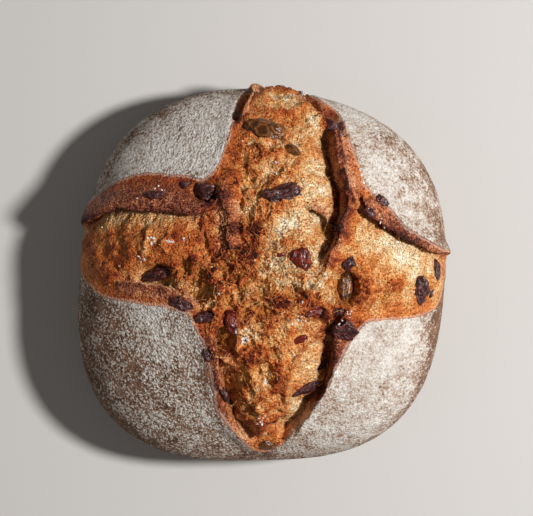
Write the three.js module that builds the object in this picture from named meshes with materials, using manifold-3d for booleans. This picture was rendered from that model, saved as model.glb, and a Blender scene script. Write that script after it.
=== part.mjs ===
// A round sourdough loaf, 22 cm across, that lies on its flat base with the scored face up. Its crust has
// burst open along a cross-shaped cut: four arms of risen crumb run from the middle to the rim, with raised
// ears of crust on their edges, and dried fruit shows in them. Lengths are millimetres, +Z is up, base at z = 0.

import * as THREE from "three";
import { ConvexHull } from "three/addons/math/ConvexHull.js";
import { ImprovedNoise } from "three/addons/math/ImprovedNoise.js";
import { mergeVertices } from "three/addons/utils/BufferGeometryUtils.js";
import Module from "manifold-3d";

// ---- Driving dimensions of the loaf ----
const RADIUS = 115.1; // mean radius of the rim, the widest level
// size and direction of waves 1 to 5 round the rim
const RIM_WAVES = [[3.6, -111], [1.7, 123], [1.5, -42], [4.7, 166], [0.8, 86]];
const RIM_HEIGHT = 40; // the rim above the base
const DOME_HEIGHT = 58; // the middle of the top above the rim
const UNDERCUT = 24; // how much smaller in radius the flat base is than the rim
const MIDDLE = [-0.54, 0.16]; // the middle of the dome, from the middle of the loaf's box

// ---- Spacing of the surface's points ----
const BURST_SPACING = 3.2;
const CRUST_SPACING = 7.8;
const SIDE_SPACING = 12;
const SPACING_WIDENS = 16; // distance from the cut over which the spacing grows
const SIDE_STARTS = 8; // distance below the rim
// distance in from the base's edge, and points round that ring
const BASE_RINGS = [[0, 72], [26, 28], [58, 12]];
const RING_TURN = 60; // each ring is turned by its distance over this, in steps of its points
const BASE_CLEAR = 3; // the scatter stops this far above the base's edge
const LINE_SPACING = 2.4; // along the lines where the crust has torn
const TEAR_CLEAR = 0.8; // nearest that a point of a torn edge lies to another point
const EDGE_CLEAR = 1.6; // the same for the edge of the cut and for folds
const NARROW = 3.6; // folds of less than this half width get rows of points of their own
const TRIES = 400000; // random places tried, enough to fill the skin at these spacings
const SEED = 7;

// ---- Form of the burst ----
const SWELL = 2.6; // the crumb stands this far above the crust's level
const SWELL_WIDTH = 14; // over which it rises from the edge of the cut
const LIP = 1.3; // the crust turns up this much at the edge of the cut
const LIP_WIDTH = 7;
const CRAG = 0.8; // unevenness of the crumb
const CRAG_SIZE = 7;
// distances from the middle between which the relief fades, so that the rim stays clean
const EDGE_FADE = [112, 140];
const EDGE_KEEP = 0.45; // share of the relief that is left past them
const WALL = 0.5; // half the width, on the map, that a torn wall is made from
const ROUND_LOSS = 1 / 15; // share of its height that an ear's edge loses for each rounded millimetre
const CREST_CURVE = 1.5; // how fast a crisp fold falls off from its crest
const TEAR_END = 11; // length over which a tear runs out at each end
const FOLD_END = 7;

// The edge of the cut, as seen from above, from the middle of the dome. A point past the rim lies that far
// down the side.
const CUT_EDGE = [
  [3, 121], [-4, 110], [-14, 102], [-21, 75], [-32, 55],
  [-45, 56], [-66, 58], [-84, 54], [-97, 44], [-107, 31], [-111, 14], [-104, -5],
  [-92, -14], [-71, -18], [-51, -22], [-40, -29],
  [-35, -44], [-32, -62], [-28, -79], [-18, -94], [-1, -105],
  [9, -102], [23, -89], [37, -73], [46, -54], [51, -40], [60, -29],
  [77, -27], [96, -24], [104, -17], [107, -5], [110, 8],
  [98, 20], [83, 29], [71, 41], [60, 49],
  [57, 59], [51, 76], [45, 92], [35, 101], [25, 107], [17, 121],
];

// Torn edges. Crust stands up to the left of each line and the crumb drops away to its right.
// rise, behind: height and width of the ear; round: width over which its edge is rounded; drop, before:
// depth and width of the crack; curve: how fast its floor falls; over: overhang of the edge; slope: half the
// width of a slanting wall.
const TEARS = [
  {
    line: [[18, 107], [26, 102], [33, 96], [38, 91]],
    rise: 2.5, behind: 5, round: 0.8, drop: 4, before: 6, curve: 1.4, over: 0.6, slope: 0,
  },
  {
    line: [[37, 87], [40, 78], [43, 60], [47, 46], [46, 36]],
    rise: 6, behind: 12, round: 2, drop: 13, before: 13, curve: 1.5, over: 1, slope: 1,
  },
  {
    line: [[47, 47], [46, 36], [42, 20], [34, 3]],
    rise: 5.5, behind: 5, round: 1, drop: 13, before: 13, curve: 1.5, over: 1, slope: 0.6,
  },
  {
    line: [[57, 48], [59, 38], [67, 30], [84, 19], [103, 12], [113, 8]],
    rise: 5, behind: 12, round: 1.2, drop: 8, before: 13, curve: 1.4, over: 3, slope: 0,
  },
  {
    line: [[-111, 24], [-99, 31], [-88, 36], [-60, 36], [-27, 33]],
    rise: 7.5, behind: 20, round: 7, drop: 6.5, before: 12, curve: 1.4, over: 2.5, slope: 0,
  },
  {
    line: [[-29, 54], [-21, 36], [-19, 8]],
    rise: 1.2, behind: 8, round: 3, drop: 1, before: 5, curve: 1.4, over: 0, slope: 2,
  },
  {
    line: [[21, 39], [32, 34], [47, 19]],
    rise: 3, behind: 8, round: 1.2, drop: 6.5, before: 9, curve: 1.4, over: 1.5, slope: 0,
  },
  {
    line: [[44, -22], [42, -42], [40, -61], [33, -75], [23, -89], [9, -100]],
    rise: 2.5, behind: 9, round: 1, drop: 13, before: 24, curve: 1.1, over: 1.6, slope: 0.4,
  },
  {
    line: [[-3, -100], [-15, -92], [-24, -71], [-27, -51], [-30, -31]],
    rise: 3, behind: 6, round: 0.8, drop: 8.5, before: 13, curve: 1.5, over: 0.6, slope: 0.8,
  },
  {
    line: [[-33, -22], [-51, -11], [-71, -6], [-88, -5]],
    rise: 2.5, behind: 9, round: 1.4, drop: 5.5, before: 10, curve: 1.4, over: 0.5, slope: 0.5,
  },
  {
    line: [[-14, 82], [-11, 91], [-7, 101], [-3, 109], [2, 118]],
    rise: 5.5, behind: 3.2, round: 0.6, drop: 2.5, before: 5, curve: 1.4, over: 0.8, slope: 0,
  },
];

// Long folds (height above 0) and grooves (below 0), with their half width and how crisp their crest is.
const FOLDS = [
  { line: [[-23, 54], [-17, 32], [-15, 8], [-8, -4]], height: 1.6, width: 4.5, crisp: 0 },
  { line: [[-12, 52], [-13, 30], [-11, 12]], height: -2.5, width: 3, crisp: 0.5 },
  { line: [[26, 110], [33, 101]], height: -3, width: 3, crisp: 0 },
  { line: [[-64, 27], [-65, 16], [-70, 6]], height: 2.4, width: 2.2, crisp: 1 },
  { line: [[-52, 23], [-55, 16], [-51, 8]], height: 1.8, width: 1.8, crisp: 1 },
  { line: [[103, 6], [102, -5], [97, -15]], height: -4, width: 3.5, crisp: 0.3 },
  { line: [[-2, -29], [22, -17], [40, 2]], height: 3.5, width: 6, crisp: 0.4 },
  { line: [[-8, -42], [-3, -70], [5, -94]], height: 3.5, width: 9, crisp: 0 },
  { line: [[11, -74], [23, -68], [36, -61]], height: 5, width: 2.5, crisp: 1 },
  { line: [[-28, -44], [-22, -47], [-17, -51], [-13, -56]], height: 4.5, width: 1.8, crisp: 1 },
  { line: [[-17, -24], [-14, -40], [-13, -56]], height: 3, width: 4, crisp: 0.5 },
  {
    line: [[11, -77], [12, -65], [14, -56], [19, -48], [28, -38], [38, -29]],
    height: 3.6, width: 3.5, crisp: 1,
  },
  { line: [[-17, 85], [-14, 96], [-7, 108]], height: -4, width: 3.4, crisp: 0.3 },
  { line: [[-13, -7], [-1, -16], [15, -23]], height: 2.5, width: 4, crisp: 0.6 },
  { line: [[42, 86], [45, 78], [48, 59], [51, 44], [49, 32]], height: 2.2, width: 1.8, crisp: 1 },
];

// Round swellings (height above 0) and pockets (below 0): middle, half sizes across and along, height, and
// how steep the rim is (1 is a soft mound).
const MOUNDS = [
  { at: [9, 55], size: [25, 42], height: 3.5, steep: 1 },
  { at: [-60, 17], size: [42, 17], height: 4.5, steep: 1 },
  { at: [73, -4], size: [30, 20], height: 3.5, steep: 1 },
  { at: [-21, -38], size: [7, 10], height: -4.5, steep: 2 },
  { at: [-19, -73], size: [9, 22], height: -5.5, steep: 2 },
  { at: [-62, -1], size: [14, 8], height: -5.5, steep: 2.2 },
  { at: [-33, -11], size: [8, 6], height: -4.5, steep: 1.8 },
  { at: [-44, 2], size: [5, 6], height: -3.5, steep: 1.8 },
  { at: [-20, -15], size: [5, 4], height: -3, steep: 1.7 },
  { at: [-1, -9], size: [9, 7], height: -4, steep: 1.7 },
  { at: [17, -10], size: [6, 5], height: -3, steep: 1.7 },
  { at: [47, -9], size: [8, 13], height: -6, steep: 1.8 },
  { at: [33, 25], size: [6, 5], height: -3.5, steep: 1.7 },
  { at: [42, 87], size: [6, 8], height: -6, steep: 1.5 },
  { at: [28, -77], size: [8, 6], height: -5.5, steep: 1.8 },
  { at: [35, -53], size: [5, 9], height: -5, steep: 1.6 },
  { at: [69, -14], size: [5, 4], height: -2, steep: 1.6 },
  { at: [63, 45], size: [4, 3.5], height: -3, steep: 1.5 },
  { at: [-34, 48], size: [10, 7], height: -3.5, steep: 1.6 },
];

// ---- Dried fruit ----
const GAP = 0.3; // between a fruit and the crumb that holds it
const SHOWS = 0.34; // share of a fruit's thickness that stands above the crumb
const THICKNESS = 0.8; // a fruit's thickness, as a share of its width
const FINE_LENGTH = 18; // a longer fruit gets more faces
const WRINKLE = 0.09; // depth of its wrinkles, as a share of its size
// kind: middle seen from above, length, width, and the turn of its length from +X in degrees
const FRUIT = {
  sultana: [
    [1, 82, 27, 13.5, -20], [17, 69, 11, 6, -35], [49, -8, 21, 11, 80], [3, -101, 11, 7, -20],
  ],
  raisin: [
    [11, 45, 23, 11, 12], [43, 83.5, 18, 9.5, -50], [68.8, 41.5, 11, 6.5, -35], [62, 36, 8, 5, -40],
    [49, 5, 9, 7, 45], [91, -10.5, 18, 11, -78], [101, 1, 14, 5, -82], [-34, 47, 17, 12, -25],
    [-45, 51, 9, 6, 0], [-60, 45, 14, 6, -5], [-63, 0.5, 20, 10, 12], [-47, -18, 14, 7, -25],
    [-33, -25, 13, 8, 10], [-32, -47, 9, 4, -75], [-24, -72, 14, 6, -70], [48, -33, 15, 12, -30],
    [43, -22, 8, 5, 0], [24, -69, 21, 6.5, 33], [34, -57, 8, 5, 30],
  ],
  cranberry: [
    [22, 8, 15, 12, -60], [-18, -28, 15, 8, -80], [-15, 93, 10, 5, 55], [21, -38, 9, 4, 25],
    [29, -22, 12, 5, 10],
  ],
};
const FRUIT_LOOK = {
  sultana: { color: "#6e4a20", roughness: 0.35 },
  raisin: { color: "#3a2020", roughness: 0.5 },
  cranberry: { color: "#6d2418", roughness: 0.4 },
};
const CRUST_LOOK = { color: "#c98f4e", roughness: 0.8 };

// ---- The plain loaf, without its burst ----

const radians = (degrees) => (degrees * Math.PI) / 180;

function rimRadius(angle) {
  let radius = RADIUS;
  RIM_WAVES.forEach(([size, direction], i) => {
    radius += size * Math.cos((i + 1) * angle - radians(direction));
  });
  return radius;
}

// The loaf's profile from the middle of the top (0) over the rim (1) and the base's edge (2) to the base's
// middle (3): distance from the axis, height, and the two parts of the outward normal.
function profile(place, rim) {
  const turn = ((place % 1) * Math.PI) / 2;
  if (place < 1) {
    const out = DOME_HEIGHT * Math.sin(turn);
    const up = rim * Math.cos(turn);
    const size = Math.hypot(out, up);
    return [rim * Math.sin(turn), RIM_HEIGHT + DOME_HEIGHT * Math.cos(turn), out / size, up / size];
  }
  if (place < 2) {
    const out = RIM_HEIGHT * Math.cos(turn);
    const up = -UNDERCUT * Math.sin(turn);
    const size = Math.hypot(out, up);
    return [rim - UNDERCUT * (1 - Math.cos(turn)), RIM_HEIGHT * (1 - Math.sin(turn)), out / size, up / size];
  }
  return [(rim - UNDERCUT) * (3 - place), 0, 0, -1];
}

// Lengths along the mean profile. The loaf's skin is measured by them: a point of the skin is given by its
// distance from the middle of the top along the skin, and its direction, laid out flat as a map (u, v).
const STEPS = 600;
const lengths = [0];
for (let i = 1; i <= STEPS; i++) {
  const [r0, z0] = profile((3 * (i - 1)) / STEPS, RADIUS);
  const [r1, z1] = profile(Math.min((3 * i) / STEPS, 3 - 1e-9), RADIUS);
  lengths.push(lengths[i - 1] + Math.hypot(r1 - r0, z1 - z0));
}
const TO_RIM = lengths[STEPS / 3];
const TO_BASE = lengths[(2 * STEPS) / 3];
const TO_END = lengths[STEPS];

function placeAt(length) {
  let low = 0;
  let high = STEPS;
  while (high - low > 1) {
    const half = (low + high) >> 1;
    if (lengths[half] <= length) low = half;
    else high = half;
  }
  return (3 * (low + (length - lengths[low]) / (lengths[high] - lengths[low]))) / STEPS;
}

function lengthAt(place) {
  const step = (place * STEPS) / 3;
  const low = Math.min(Math.floor(step), STEPS - 1);
  return lengths[low] + (step - low) * (lengths[low + 1] - lengths[low]);
}

// A point of the plain skin and its outward normal.
function skin(u, v) {
  const length = Math.min(Math.hypot(u, v), TO_END);
  const angle = Math.atan2(v, u);
  const [out, height, nOut, nUp] = profile(Math.min(placeAt(length), 3 - 1e-9), rimRadius(angle));
  return {
    point: new THREE.Vector3(MIDDLE[0] + out * Math.cos(angle), MIDDLE[1] + out * Math.sin(angle), height),
    normal: new THREE.Vector3(nOut * Math.cos(angle), nOut * Math.sin(angle), nUp),
  };
}

// The skin's map point under a point seen from above.
function toMap([x, y]) {
  const angle = Math.atan2(y, x);
  const distance = Math.hypot(x, y);
  const rim = rimRadius(angle);
  const length = distance < rim
    ? lengthAt((2 / Math.PI) * Math.asin(distance / rim))
    : TO_RIM + distance - rim;
  return new THREE.Vector3(length * Math.cos(angle), length * Math.sin(angle), 0);
}

// ---- Lines on the map ----

const smooth = (x) => {
  const t = Math.min(Math.max(x, 0), 1);
  return t * t * (3 - 2 * t);
};

function trace(points, closed) {
  const curve = new THREE.CatmullRomCurve3(points.map(toMap), closed, "centripetal");
  return curve.getSpacedPoints(Math.ceil(curve.getLength() / LINE_SPACING));
}

// Where a map point lies from a line: its signed distance (above 0 on the left), how far along the line it is
// and how far from the line's nearer end, and the direction to the line's left.
function locate(line, u, v) {
  let best = { away: Infinity };
  for (let i = 0; i + 1 < line.length; i++) {
    const a = line[i];
    const b = line[i + 1];
    const du = b.x - a.x;
    const dv = b.y - a.y;
    const size = Math.hypot(du, dv);
    const t = Math.min(Math.max(((u - a.x) * du + (v - a.y) * dv) / size ** 2, 0), 1);
    const away = Math.hypot(u - a.x - t * du, v - a.y - t * dv);
    if (away < best.away) {
      const left = [-dv / size, du / size];
      const side = (u - a.x) * left[0] + (v - a.y) * left[1] < 0 ? -1 : 1;
      best = { away, distance: side * away, left, toEnd: [(i + t) * size, (line.length - 1 - i - t) * size] };
    }
  }
  return best;
}

// 1 along a line, and 0 at its two ends.
const taper = ([fromStart, toEnd], over) => smooth(fromStart / over) * smooth(toEnd / over);

const cutEdge = trace(CUT_EDGE, true);
const tears = TEARS.map((tear) => ({ ...tear, line: trace(tear.line, false) }));
const folds = FOLDS.map((fold) => ({ ...fold, line: trace(fold.line, false) }));
const mounds = MOUNDS.map((mound) => ({ ...mound, at: toMap(mound.at) }));
const noise = new ImprovedNoise();

// Height over a tear, and share of the full shift, at a signed distance from the middle of its wall.
function acrossTear(distance, { rise, behind, round, drop, before, curve, slope }) {
  const wall = WALL + slope;
  const kept = 1 - ROUND_LOSS * round;
  const past = Math.max(Math.abs(distance) - wall, 0);
  const rounded = 1 - (1 - kept) * (1 - Math.min(past / round, 1)) ** 2;
  const upWall = smooth((distance + wall) / (2 * wall));
  let height = -drop + (rise * kept + drop) * upWall;
  if (distance > wall) height = rise * (1 - smooth(past / behind)) * rounded;
  if (distance < -wall) height = -drop * (1 - Math.min(past / before, 1)) ** curve;
  const width = (distance > 0 ? behind : before) * 1.1;
  return [height, (1 - smooth(past / width)) * Math.min(Math.max(distance / wall, -1), 1)];
}

// Height of the burst over the plain skin, and its shift along the map, at a map point.
function relief(u, v) {
  const inside = locate(cutEdge, u, v).distance; // the edge runs anticlockwise, so the burst is on its left
  const burst = smooth(inside / SWELL_WIDTH);
  let height = SWELL * burst + LIP * (1 - smooth(Math.abs(inside) / LIP_WIDTH));
  let shiftU = 0;
  let shiftV = 0;
  for (const tear of tears) {
    const { distance, left, toEnd } = locate(tear.line, u, v);
    const ends = taper(toEnd, TEAR_END);
    const [step, squeeze] = acrossTear(distance + tear.slope, tear);
    height += ends * step;
    shiftU -= ends * squeeze * (WALL + tear.over) * left[0];
    shiftV -= ends * squeeze * (WALL + tear.over) * left[1];
  }
  for (const { line, height: tall, width, crisp } of folds) {
    const { away, toEnd } = locate(line, u, v);
    const out = Math.min(away / width, 1);
    const form = (1 - crisp) * (1 - smooth(out)) + crisp * (1 - out) ** CREST_CURVE;
    height += taper(toEnd, FOLD_END) * tall * form;
  }
  for (const { at, size, height: tall, steep } of mounds) {
    const away = Math.hypot((u - at.x) / size[0], (v - at.y) / size[1]);
    height += tall * (1 - smooth((away - 1) * steep + 1));
  }
  height += burst * CRAG * 2 * noise.noise(u / CRAG_SIZE, v / CRAG_SIZE, 0.5);
  const [from, to] = EDGE_FADE;
  const fade = 1 - (1 - EDGE_KEEP) * smooth((Math.hypot(u, v) - from) / (to - from));
  return { height: height * fade, shiftU: shiftU * fade ** 2, shiftV: shiftV * fade ** 2 };
}

function surface(u, v) {
  const { height, shiftU, shiftV } = relief(u, v);
  const { point, normal } = skin(u + shiftU, v + shiftV);
  return { point: point.addScaledVector(normal, height), normal };
}

// ---- Points of the surface: rows along the torn lines, then an even scatter, then rings on the base ----

const chance = (() => {
  let state = SEED;
  return () => {
    state = (Math.imul(state, 1664525) + 1013904223) >>> 0;
    return state / 2 ** 32;
  };
})();

function surfacePoints() {
  const chosen = [];
  const cells = new Map();
  const cell = CRUST_SPACING;
  const key = (p) => `${Math.floor(p.x / cell)},${Math.floor(p.y / cell)},${Math.floor(p.z / cell)}`;
  const clear = (p, spacing) => {
    const reach = Math.ceil(spacing / cell);
    for (let i = -reach; i <= reach; i++) {
      for (let j = -reach; j <= reach; j++) {
        for (let k = -reach; k <= reach; k++) {
          const near = cells.get(key(new THREE.Vector3(p.x + i * cell, p.y + j * cell, p.z + k * cell)));
          if (near && near.some((q) => q.distanceTo(p) < spacing)) return false;
        }
      }
    }
    return true;
  };
  const add = (u, v, spacing) => {
    const { point } = skin(u, v);
    if (!clear(point, spacing)) return;
    const name = key(point);
    if (!cells.has(name)) cells.set(name, []);
    cells.get(name).push(point);
    chosen.push([u, v]);
  };
  const addRow = (line, offset, spacing) => {
    for (let i = 0; i < line.length; i++) {
      const a = line[Math.max(i - 1, 0)];
      const b = line[Math.min(i + 1, line.length - 1)];
      const size = Math.hypot(b.x - a.x, b.y - a.y);
      add(line[i].x - (offset * (b.y - a.y)) / size, line[i].y + (offset * (b.x - a.x)) / size, spacing);
    }
  };
  for (const { line, slope } of tears) {
    addRow(line, WALL, TEAR_CLEAR);
    addRow(line, -WALL - 2 * slope, TEAR_CLEAR);
  }
  addRow(cutEdge, 0, EDGE_CLEAR);
  for (const { line, width } of folds.filter((fold) => fold.width < NARROW)) {
    for (const offset of [0, width, -width]) addRow(line, offset, EDGE_CLEAR);
  }

  for (const [inset, count] of BASE_RINGS) {
    for (let i = 0; i < count; i++) {
      const angle = (2 * Math.PI * (i + inset / RING_TURN)) / count;
      add((TO_BASE + inset) * Math.cos(angle), (TO_BASE + inset) * Math.sin(angle), 1);
    }
  }
  add(TO_END - 0.01, 0, 1);

  for (let i = 0; i < TRIES; i++) {
    const length = (TO_BASE - BASE_CLEAR) * Math.sqrt(chance());
    const angle = 2 * Math.PI * chance();
    const u = length * Math.cos(angle);
    const v = length * Math.sin(angle);
    const outside = Math.max(-locate(cutEdge, u, v).distance, 0);
    const far = Math.min(outside / SPACING_WIDENS, 1);
    const coarse = length > TO_RIM + SIDE_STARTS ? SIDE_SPACING : CRUST_SPACING;
    add(u, v, BURST_SPACING + far * (coarse - BURST_SPACING));
  }
  return chosen;
}

// The skin is closed by stretching its map over a ball: the hull of the ball's points joins neighbours by
// triangles.
function loafGeometry() {
  const map = surfacePoints();
  const onBall = map.map(([u, v], i) => {
    const polar = (Math.PI * Math.hypot(u, v)) / TO_END;
    const angle = Math.atan2(v, u);
    const p = new THREE.Vector3().setFromSphericalCoords(1, polar, angle);
    p.index = i;
    return p;
  });
  const index = [];
  for (const face of new ConvexHull().setFromPoints(onBall).faces) {
    index.push(...[0, 1, 2].map((side) => face.getEdge(side).head().point.index));
  }
  const positions = map.flatMap(([u, v]) => surface(u, v).point.toArray());
  return makeGeometry(positions, index);
}

function makeGeometry(positions, index) {
  const geometry = new THREE.BufferGeometry();
  geometry.setAttribute("position", new THREE.Float32BufferAttribute(positions, 3));
  geometry.setIndex(index);
  geometry.computeVertexNormals();
  return geometry;
}

// ---- Fruit ----

// A wrinkled, slightly flat berry, grown by `extra` all round.
function berryGeometry(length, width, number, extra) {
  const geometry = new THREE.IcosahedronGeometry(1, length > FINE_LENGTH ? 2 : 1);
  geometry.deleteAttribute("normal");
  geometry.deleteAttribute("uv");
  const berry = mergeVertices(geometry, 1e-4);
  const half = [length / 2, width / 2, (width * THICKNESS) / 2];
  const place = berry.attributes.position;
  const p = new THREE.Vector3();
  for (let i = 0; i < place.count; i++) {
    p.fromBufferAttribute(place, i);
    const fold = Math.sin(3.1 * p.x + 5.3 * p.y + number) * Math.cos(4.7 * p.z - 2.9 * p.x + 2 * number);
    const grow = 1 + WRINKLE * fold;
    place.setXYZ(i, ...p.toArray().map((value, axis) => value * (half[axis] * grow + extra)));
  }
  berry.computeVertexNormals();
  return berry;
}

function placeBerry(mesh, x, y, width, turn) {
  const at = toMap([x, y]);
  const { point, normal } = surface(at.x, at.y);
  const along = new THREE.Vector3(Math.cos(radians(turn)), Math.sin(radians(turn)), 0);
  along.addScaledVector(normal, -along.dot(normal)).normalize();
  const across = new THREE.Vector3().crossVectors(normal, along);
  mesh.quaternion.setFromRotationMatrix(new THREE.Matrix4().makeBasis(along, across, normal));
  mesh.position.copy(point).addScaledVector(normal, width * THICKNESS * (SHOWS - 0.5));
}

// ---- Solids ----

const wasm = await Module();
wasm.setup();

function toManifold(geometry) {
  return new wasm.Manifold(new wasm.Mesh({
    numProp: 3,
    vertProperties: new Float32Array(geometry.attributes.position.array),
    triVerts: new Uint32Array(geometry.index.array),
  }));
}

function fromManifold(solid) {
  const { vertProperties, triVerts } = solid.getMesh();
  return makeGeometry(Array.from(vertProperties), Array.from(triVerts));
}

const loafObject = new THREE.Group();
let loaf = toManifold(loafGeometry());

for (const [kind, list] of Object.entries(FRUIT)) {
  list.forEach(([x, y, length, width, turn], i) => {
    const material = new THREE.MeshStandardMaterial({ ...FRUIT_LOOK[kind], metalness: 0 });
    const berry = new THREE.Mesh(berryGeometry(length, width, i, 0), material);
    berry.name = `${kind}_${i + 1}`;
    placeBerry(berry, x, y, width, turn);
    berry.updateMatrixWorld();
    loaf = loaf.subtract(toManifold(berryGeometry(length, width, i, GAP).applyMatrix4(berry.matrixWorld)));
    loafObject.add(berry);
  });
}

// Thin scraps that a fruit's hollow may cut off are dropped.
const whole = loaf.decompose().sort((a, b) => b.volume() - a.volume())[0];
const crustMaterial = new THREE.MeshStandardMaterial({ ...CRUST_LOOK, metalness: 0 });
const crust = new THREE.Mesh(fromManifold(whole), crustMaterial);
crust.name = "loaf";
loafObject.add(crust);

export default loafObject;
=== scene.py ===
# %% [markdown]
# # A fruited sourdough loaf
# A sourdough boule is proved in a floured basket, turned out, cut with a blade and baked. The crust is
# dusted with the basket's flour, and the dough bursts through the cut as it rises: the torn crumb
# browns there without any flour. This lesson builds that surface on one closed mesh, sets dried fruit
# in it and lights it for a look from straight above.
#
# The frame comes first. It holds the loaf's solids at their true size, in metres, and everything is
# fitted to it.

# %% Load the frame
import math
from collections import namedtuple
from functools import partial

import bpy
import numpy as np
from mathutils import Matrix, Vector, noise


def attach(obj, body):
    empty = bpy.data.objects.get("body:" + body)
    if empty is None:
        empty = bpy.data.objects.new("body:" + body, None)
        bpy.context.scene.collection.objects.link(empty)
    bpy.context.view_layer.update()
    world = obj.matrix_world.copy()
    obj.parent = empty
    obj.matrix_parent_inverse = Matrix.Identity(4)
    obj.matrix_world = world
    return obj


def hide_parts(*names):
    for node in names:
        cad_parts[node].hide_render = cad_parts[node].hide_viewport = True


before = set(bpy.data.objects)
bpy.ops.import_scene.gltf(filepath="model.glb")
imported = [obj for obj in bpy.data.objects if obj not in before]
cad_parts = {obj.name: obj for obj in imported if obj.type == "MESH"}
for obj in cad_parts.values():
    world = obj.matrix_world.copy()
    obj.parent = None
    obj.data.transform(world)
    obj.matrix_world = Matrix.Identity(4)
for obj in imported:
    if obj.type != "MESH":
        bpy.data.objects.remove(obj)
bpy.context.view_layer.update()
print("frame:", len(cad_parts), "solids")

# %% [markdown]
# ## Sizes
# The loaf is described in millimetres, because a baker would measure it so, and turned to metres at the
# very end. It is a low dome on a rim that bulges out over a smaller flat base. Five waves round the rim
# make it slightly square, as a boule is that was folded from four sides.

# %% Sizes of the plain loaf, in millimetres
MM = 0.001
RADIUS = 115.1
RIM_WAVES = [(3.6, -111), (1.7, 123), (1.5, -42), (4.7, 166), (0.8, 86)]
RIM_HEIGHT = 40
DOME_HEIGHT = 58
UNDERCUT = 24
MIDDLE = (-0.54, 0.16)


def rim_radius(angle):
    turns = enumerate(RIM_WAVES, 1)
    return RADIUS + sum(size * np.cos(i * angle - math.radians(at)) for i, (size, at) in turns)


def profile(place, rim):
    """The side view: top's middle (0), rim (1), base's edge (2) and base's middle (3), with its normals."""
    turn = (place - np.floor(place)) * math.pi / 2
    dome, side = place < 1, (place >= 1) & (place < 2)
    out = np.where(dome, rim * np.sin(turn), np.where(side, rim - UNDERCUT * (1 - np.cos(turn)), 0))
    out = np.where(place >= 2, (rim - UNDERCUT) * (3 - place), out)
    up = np.where(side, RIM_HEIGHT * (1 - np.sin(turn)), 0)
    up = np.where(dome, RIM_HEIGHT + DOME_HEIGHT * np.cos(turn), up)
    n_out = np.where(dome, DOME_HEIGHT * np.sin(turn), np.where(side, RIM_HEIGHT * np.cos(turn), 0))
    n_up = np.where(dome, rim * np.cos(turn), np.where(side, -UNDERCUT * np.sin(turn), -1))
    size = np.maximum(np.hypot(n_out, n_up), 1e-9)
    return out, up, n_out / size, n_up / size


# %% [markdown]
# ## A map of the skin
# Every feature is placed on a flat map of the loaf's skin: how far it lies from the middle of the top,
# measured along the skin, and in which direction. A table of lengths along the profile turns map places
# into places on the loaf.

# %% The map and back
PLACES = np.linspace(0, 3 - 1e-9, 1201)
_out, _up, _, _ = profile(PLACES, RADIUS)
LENGTHS = np.concatenate([[0], np.cumsum(np.hypot(np.diff(_out), np.diff(_up)))])
TO_RIM, TO_BASE, TO_END = np.interp([1, 2, 3], PLACES, LENGTHS)
print("from the top's middle to the rim %.0f mm, to the base %.0f mm" % (TO_RIM, TO_BASE))


def skin(u, v):
    """Points of the plain skin, and its outward normals, at map places."""
    length = np.minimum(np.hypot(u, v), TO_END - 1e-6)
    angle = np.arctan2(v, u)
    out, up, n_out, n_up = profile(np.interp(length, LENGTHS, PLACES), rim_radius(angle))
    points = np.stack([MIDDLE[0] + out * np.cos(angle), MIDDLE[1] + out * np.sin(angle), up], axis=1)
    return points, np.stack([n_out * np.cos(angle), n_out * np.sin(angle), n_up], axis=1)


def to_map(points):
    """Map places under points seen from above; past the rim a point lies that far down the side."""
    points = np.atleast_2d(np.array(points, float))
    angle, distance = np.arctan2(points[:, 1], points[:, 0]), np.hypot(points[:, 0], points[:, 1])
    rim = rim_radius(angle)
    inner = np.interp(np.arcsin(np.minimum(distance / rim, 1)) * 2 / math.pi, PLACES, LENGTHS)
    length = np.where(distance < rim, inner, TO_RIM + distance - rim)
    return np.stack([length * np.cos(angle), length * np.sin(angle)], axis=1)


# %% [markdown]
# ## Lines on the map
# The edge of the cut and every tear are smooth lines through a few points. For any place on the loaf,
# `locate` says how far it lies from a line, on which side, and how far along it is. That is all a
# ridge, a groove or a torn edge needs to know.

# %% Smooth lines and distances from them
LINE_STEP = 2.0


def smooth(x):
    t = np.clip(x, 0, 1)
    return t * t * (3 - 2 * t)


def trace(points, closed=False):
    """A centripetal Catmull-Rom line through map points, in even steps."""
    p = to_map(points)
    if closed:
        p = np.vstack([p[-1:], p, p[:2]])
    else:
        p = np.vstack([2 * p[0] - p[1], p, 2 * p[-1] - p[-2]])
    line = []
    for a, b, c, d in zip(p[:-3], p[1:-2], p[2:-1], p[3:]):
        t0, t1, t2 = (max(np.linalg.norm(x - y), 1e-6) ** 0.5 for x, y in ((b, a), (c, b), (d, c)))
        into = ((b - a) / t0 - (c - a) / (t0 + t1) + (c - b) / t1) * t1
        away = ((c - b) / t1 - (d - b) / (t1 + t2) + (d - c) / t2) * t1
        t = np.linspace(0, 1, 20, endpoint=False)[:, None]
        cubic = (2 * t**3 - 3 * t**2 + 1) * b + (t**3 - 2 * t**2 + t) * into
        line.append(cubic + (3 * t**2 - 2 * t**3) * c + (t**3 - t**2) * away)
    line = np.vstack(line + [p[-2:-1]])
    walked = np.concatenate([[0], np.cumsum(np.linalg.norm(np.diff(line, axis=0), axis=1))])
    steps = np.linspace(0, walked[-1], max(int(walked[-1] / LINE_STEP), 2) + 1)
    return np.stack([np.interp(steps, walked, line[:, i]) for i in (0, 1)], axis=1)


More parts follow.
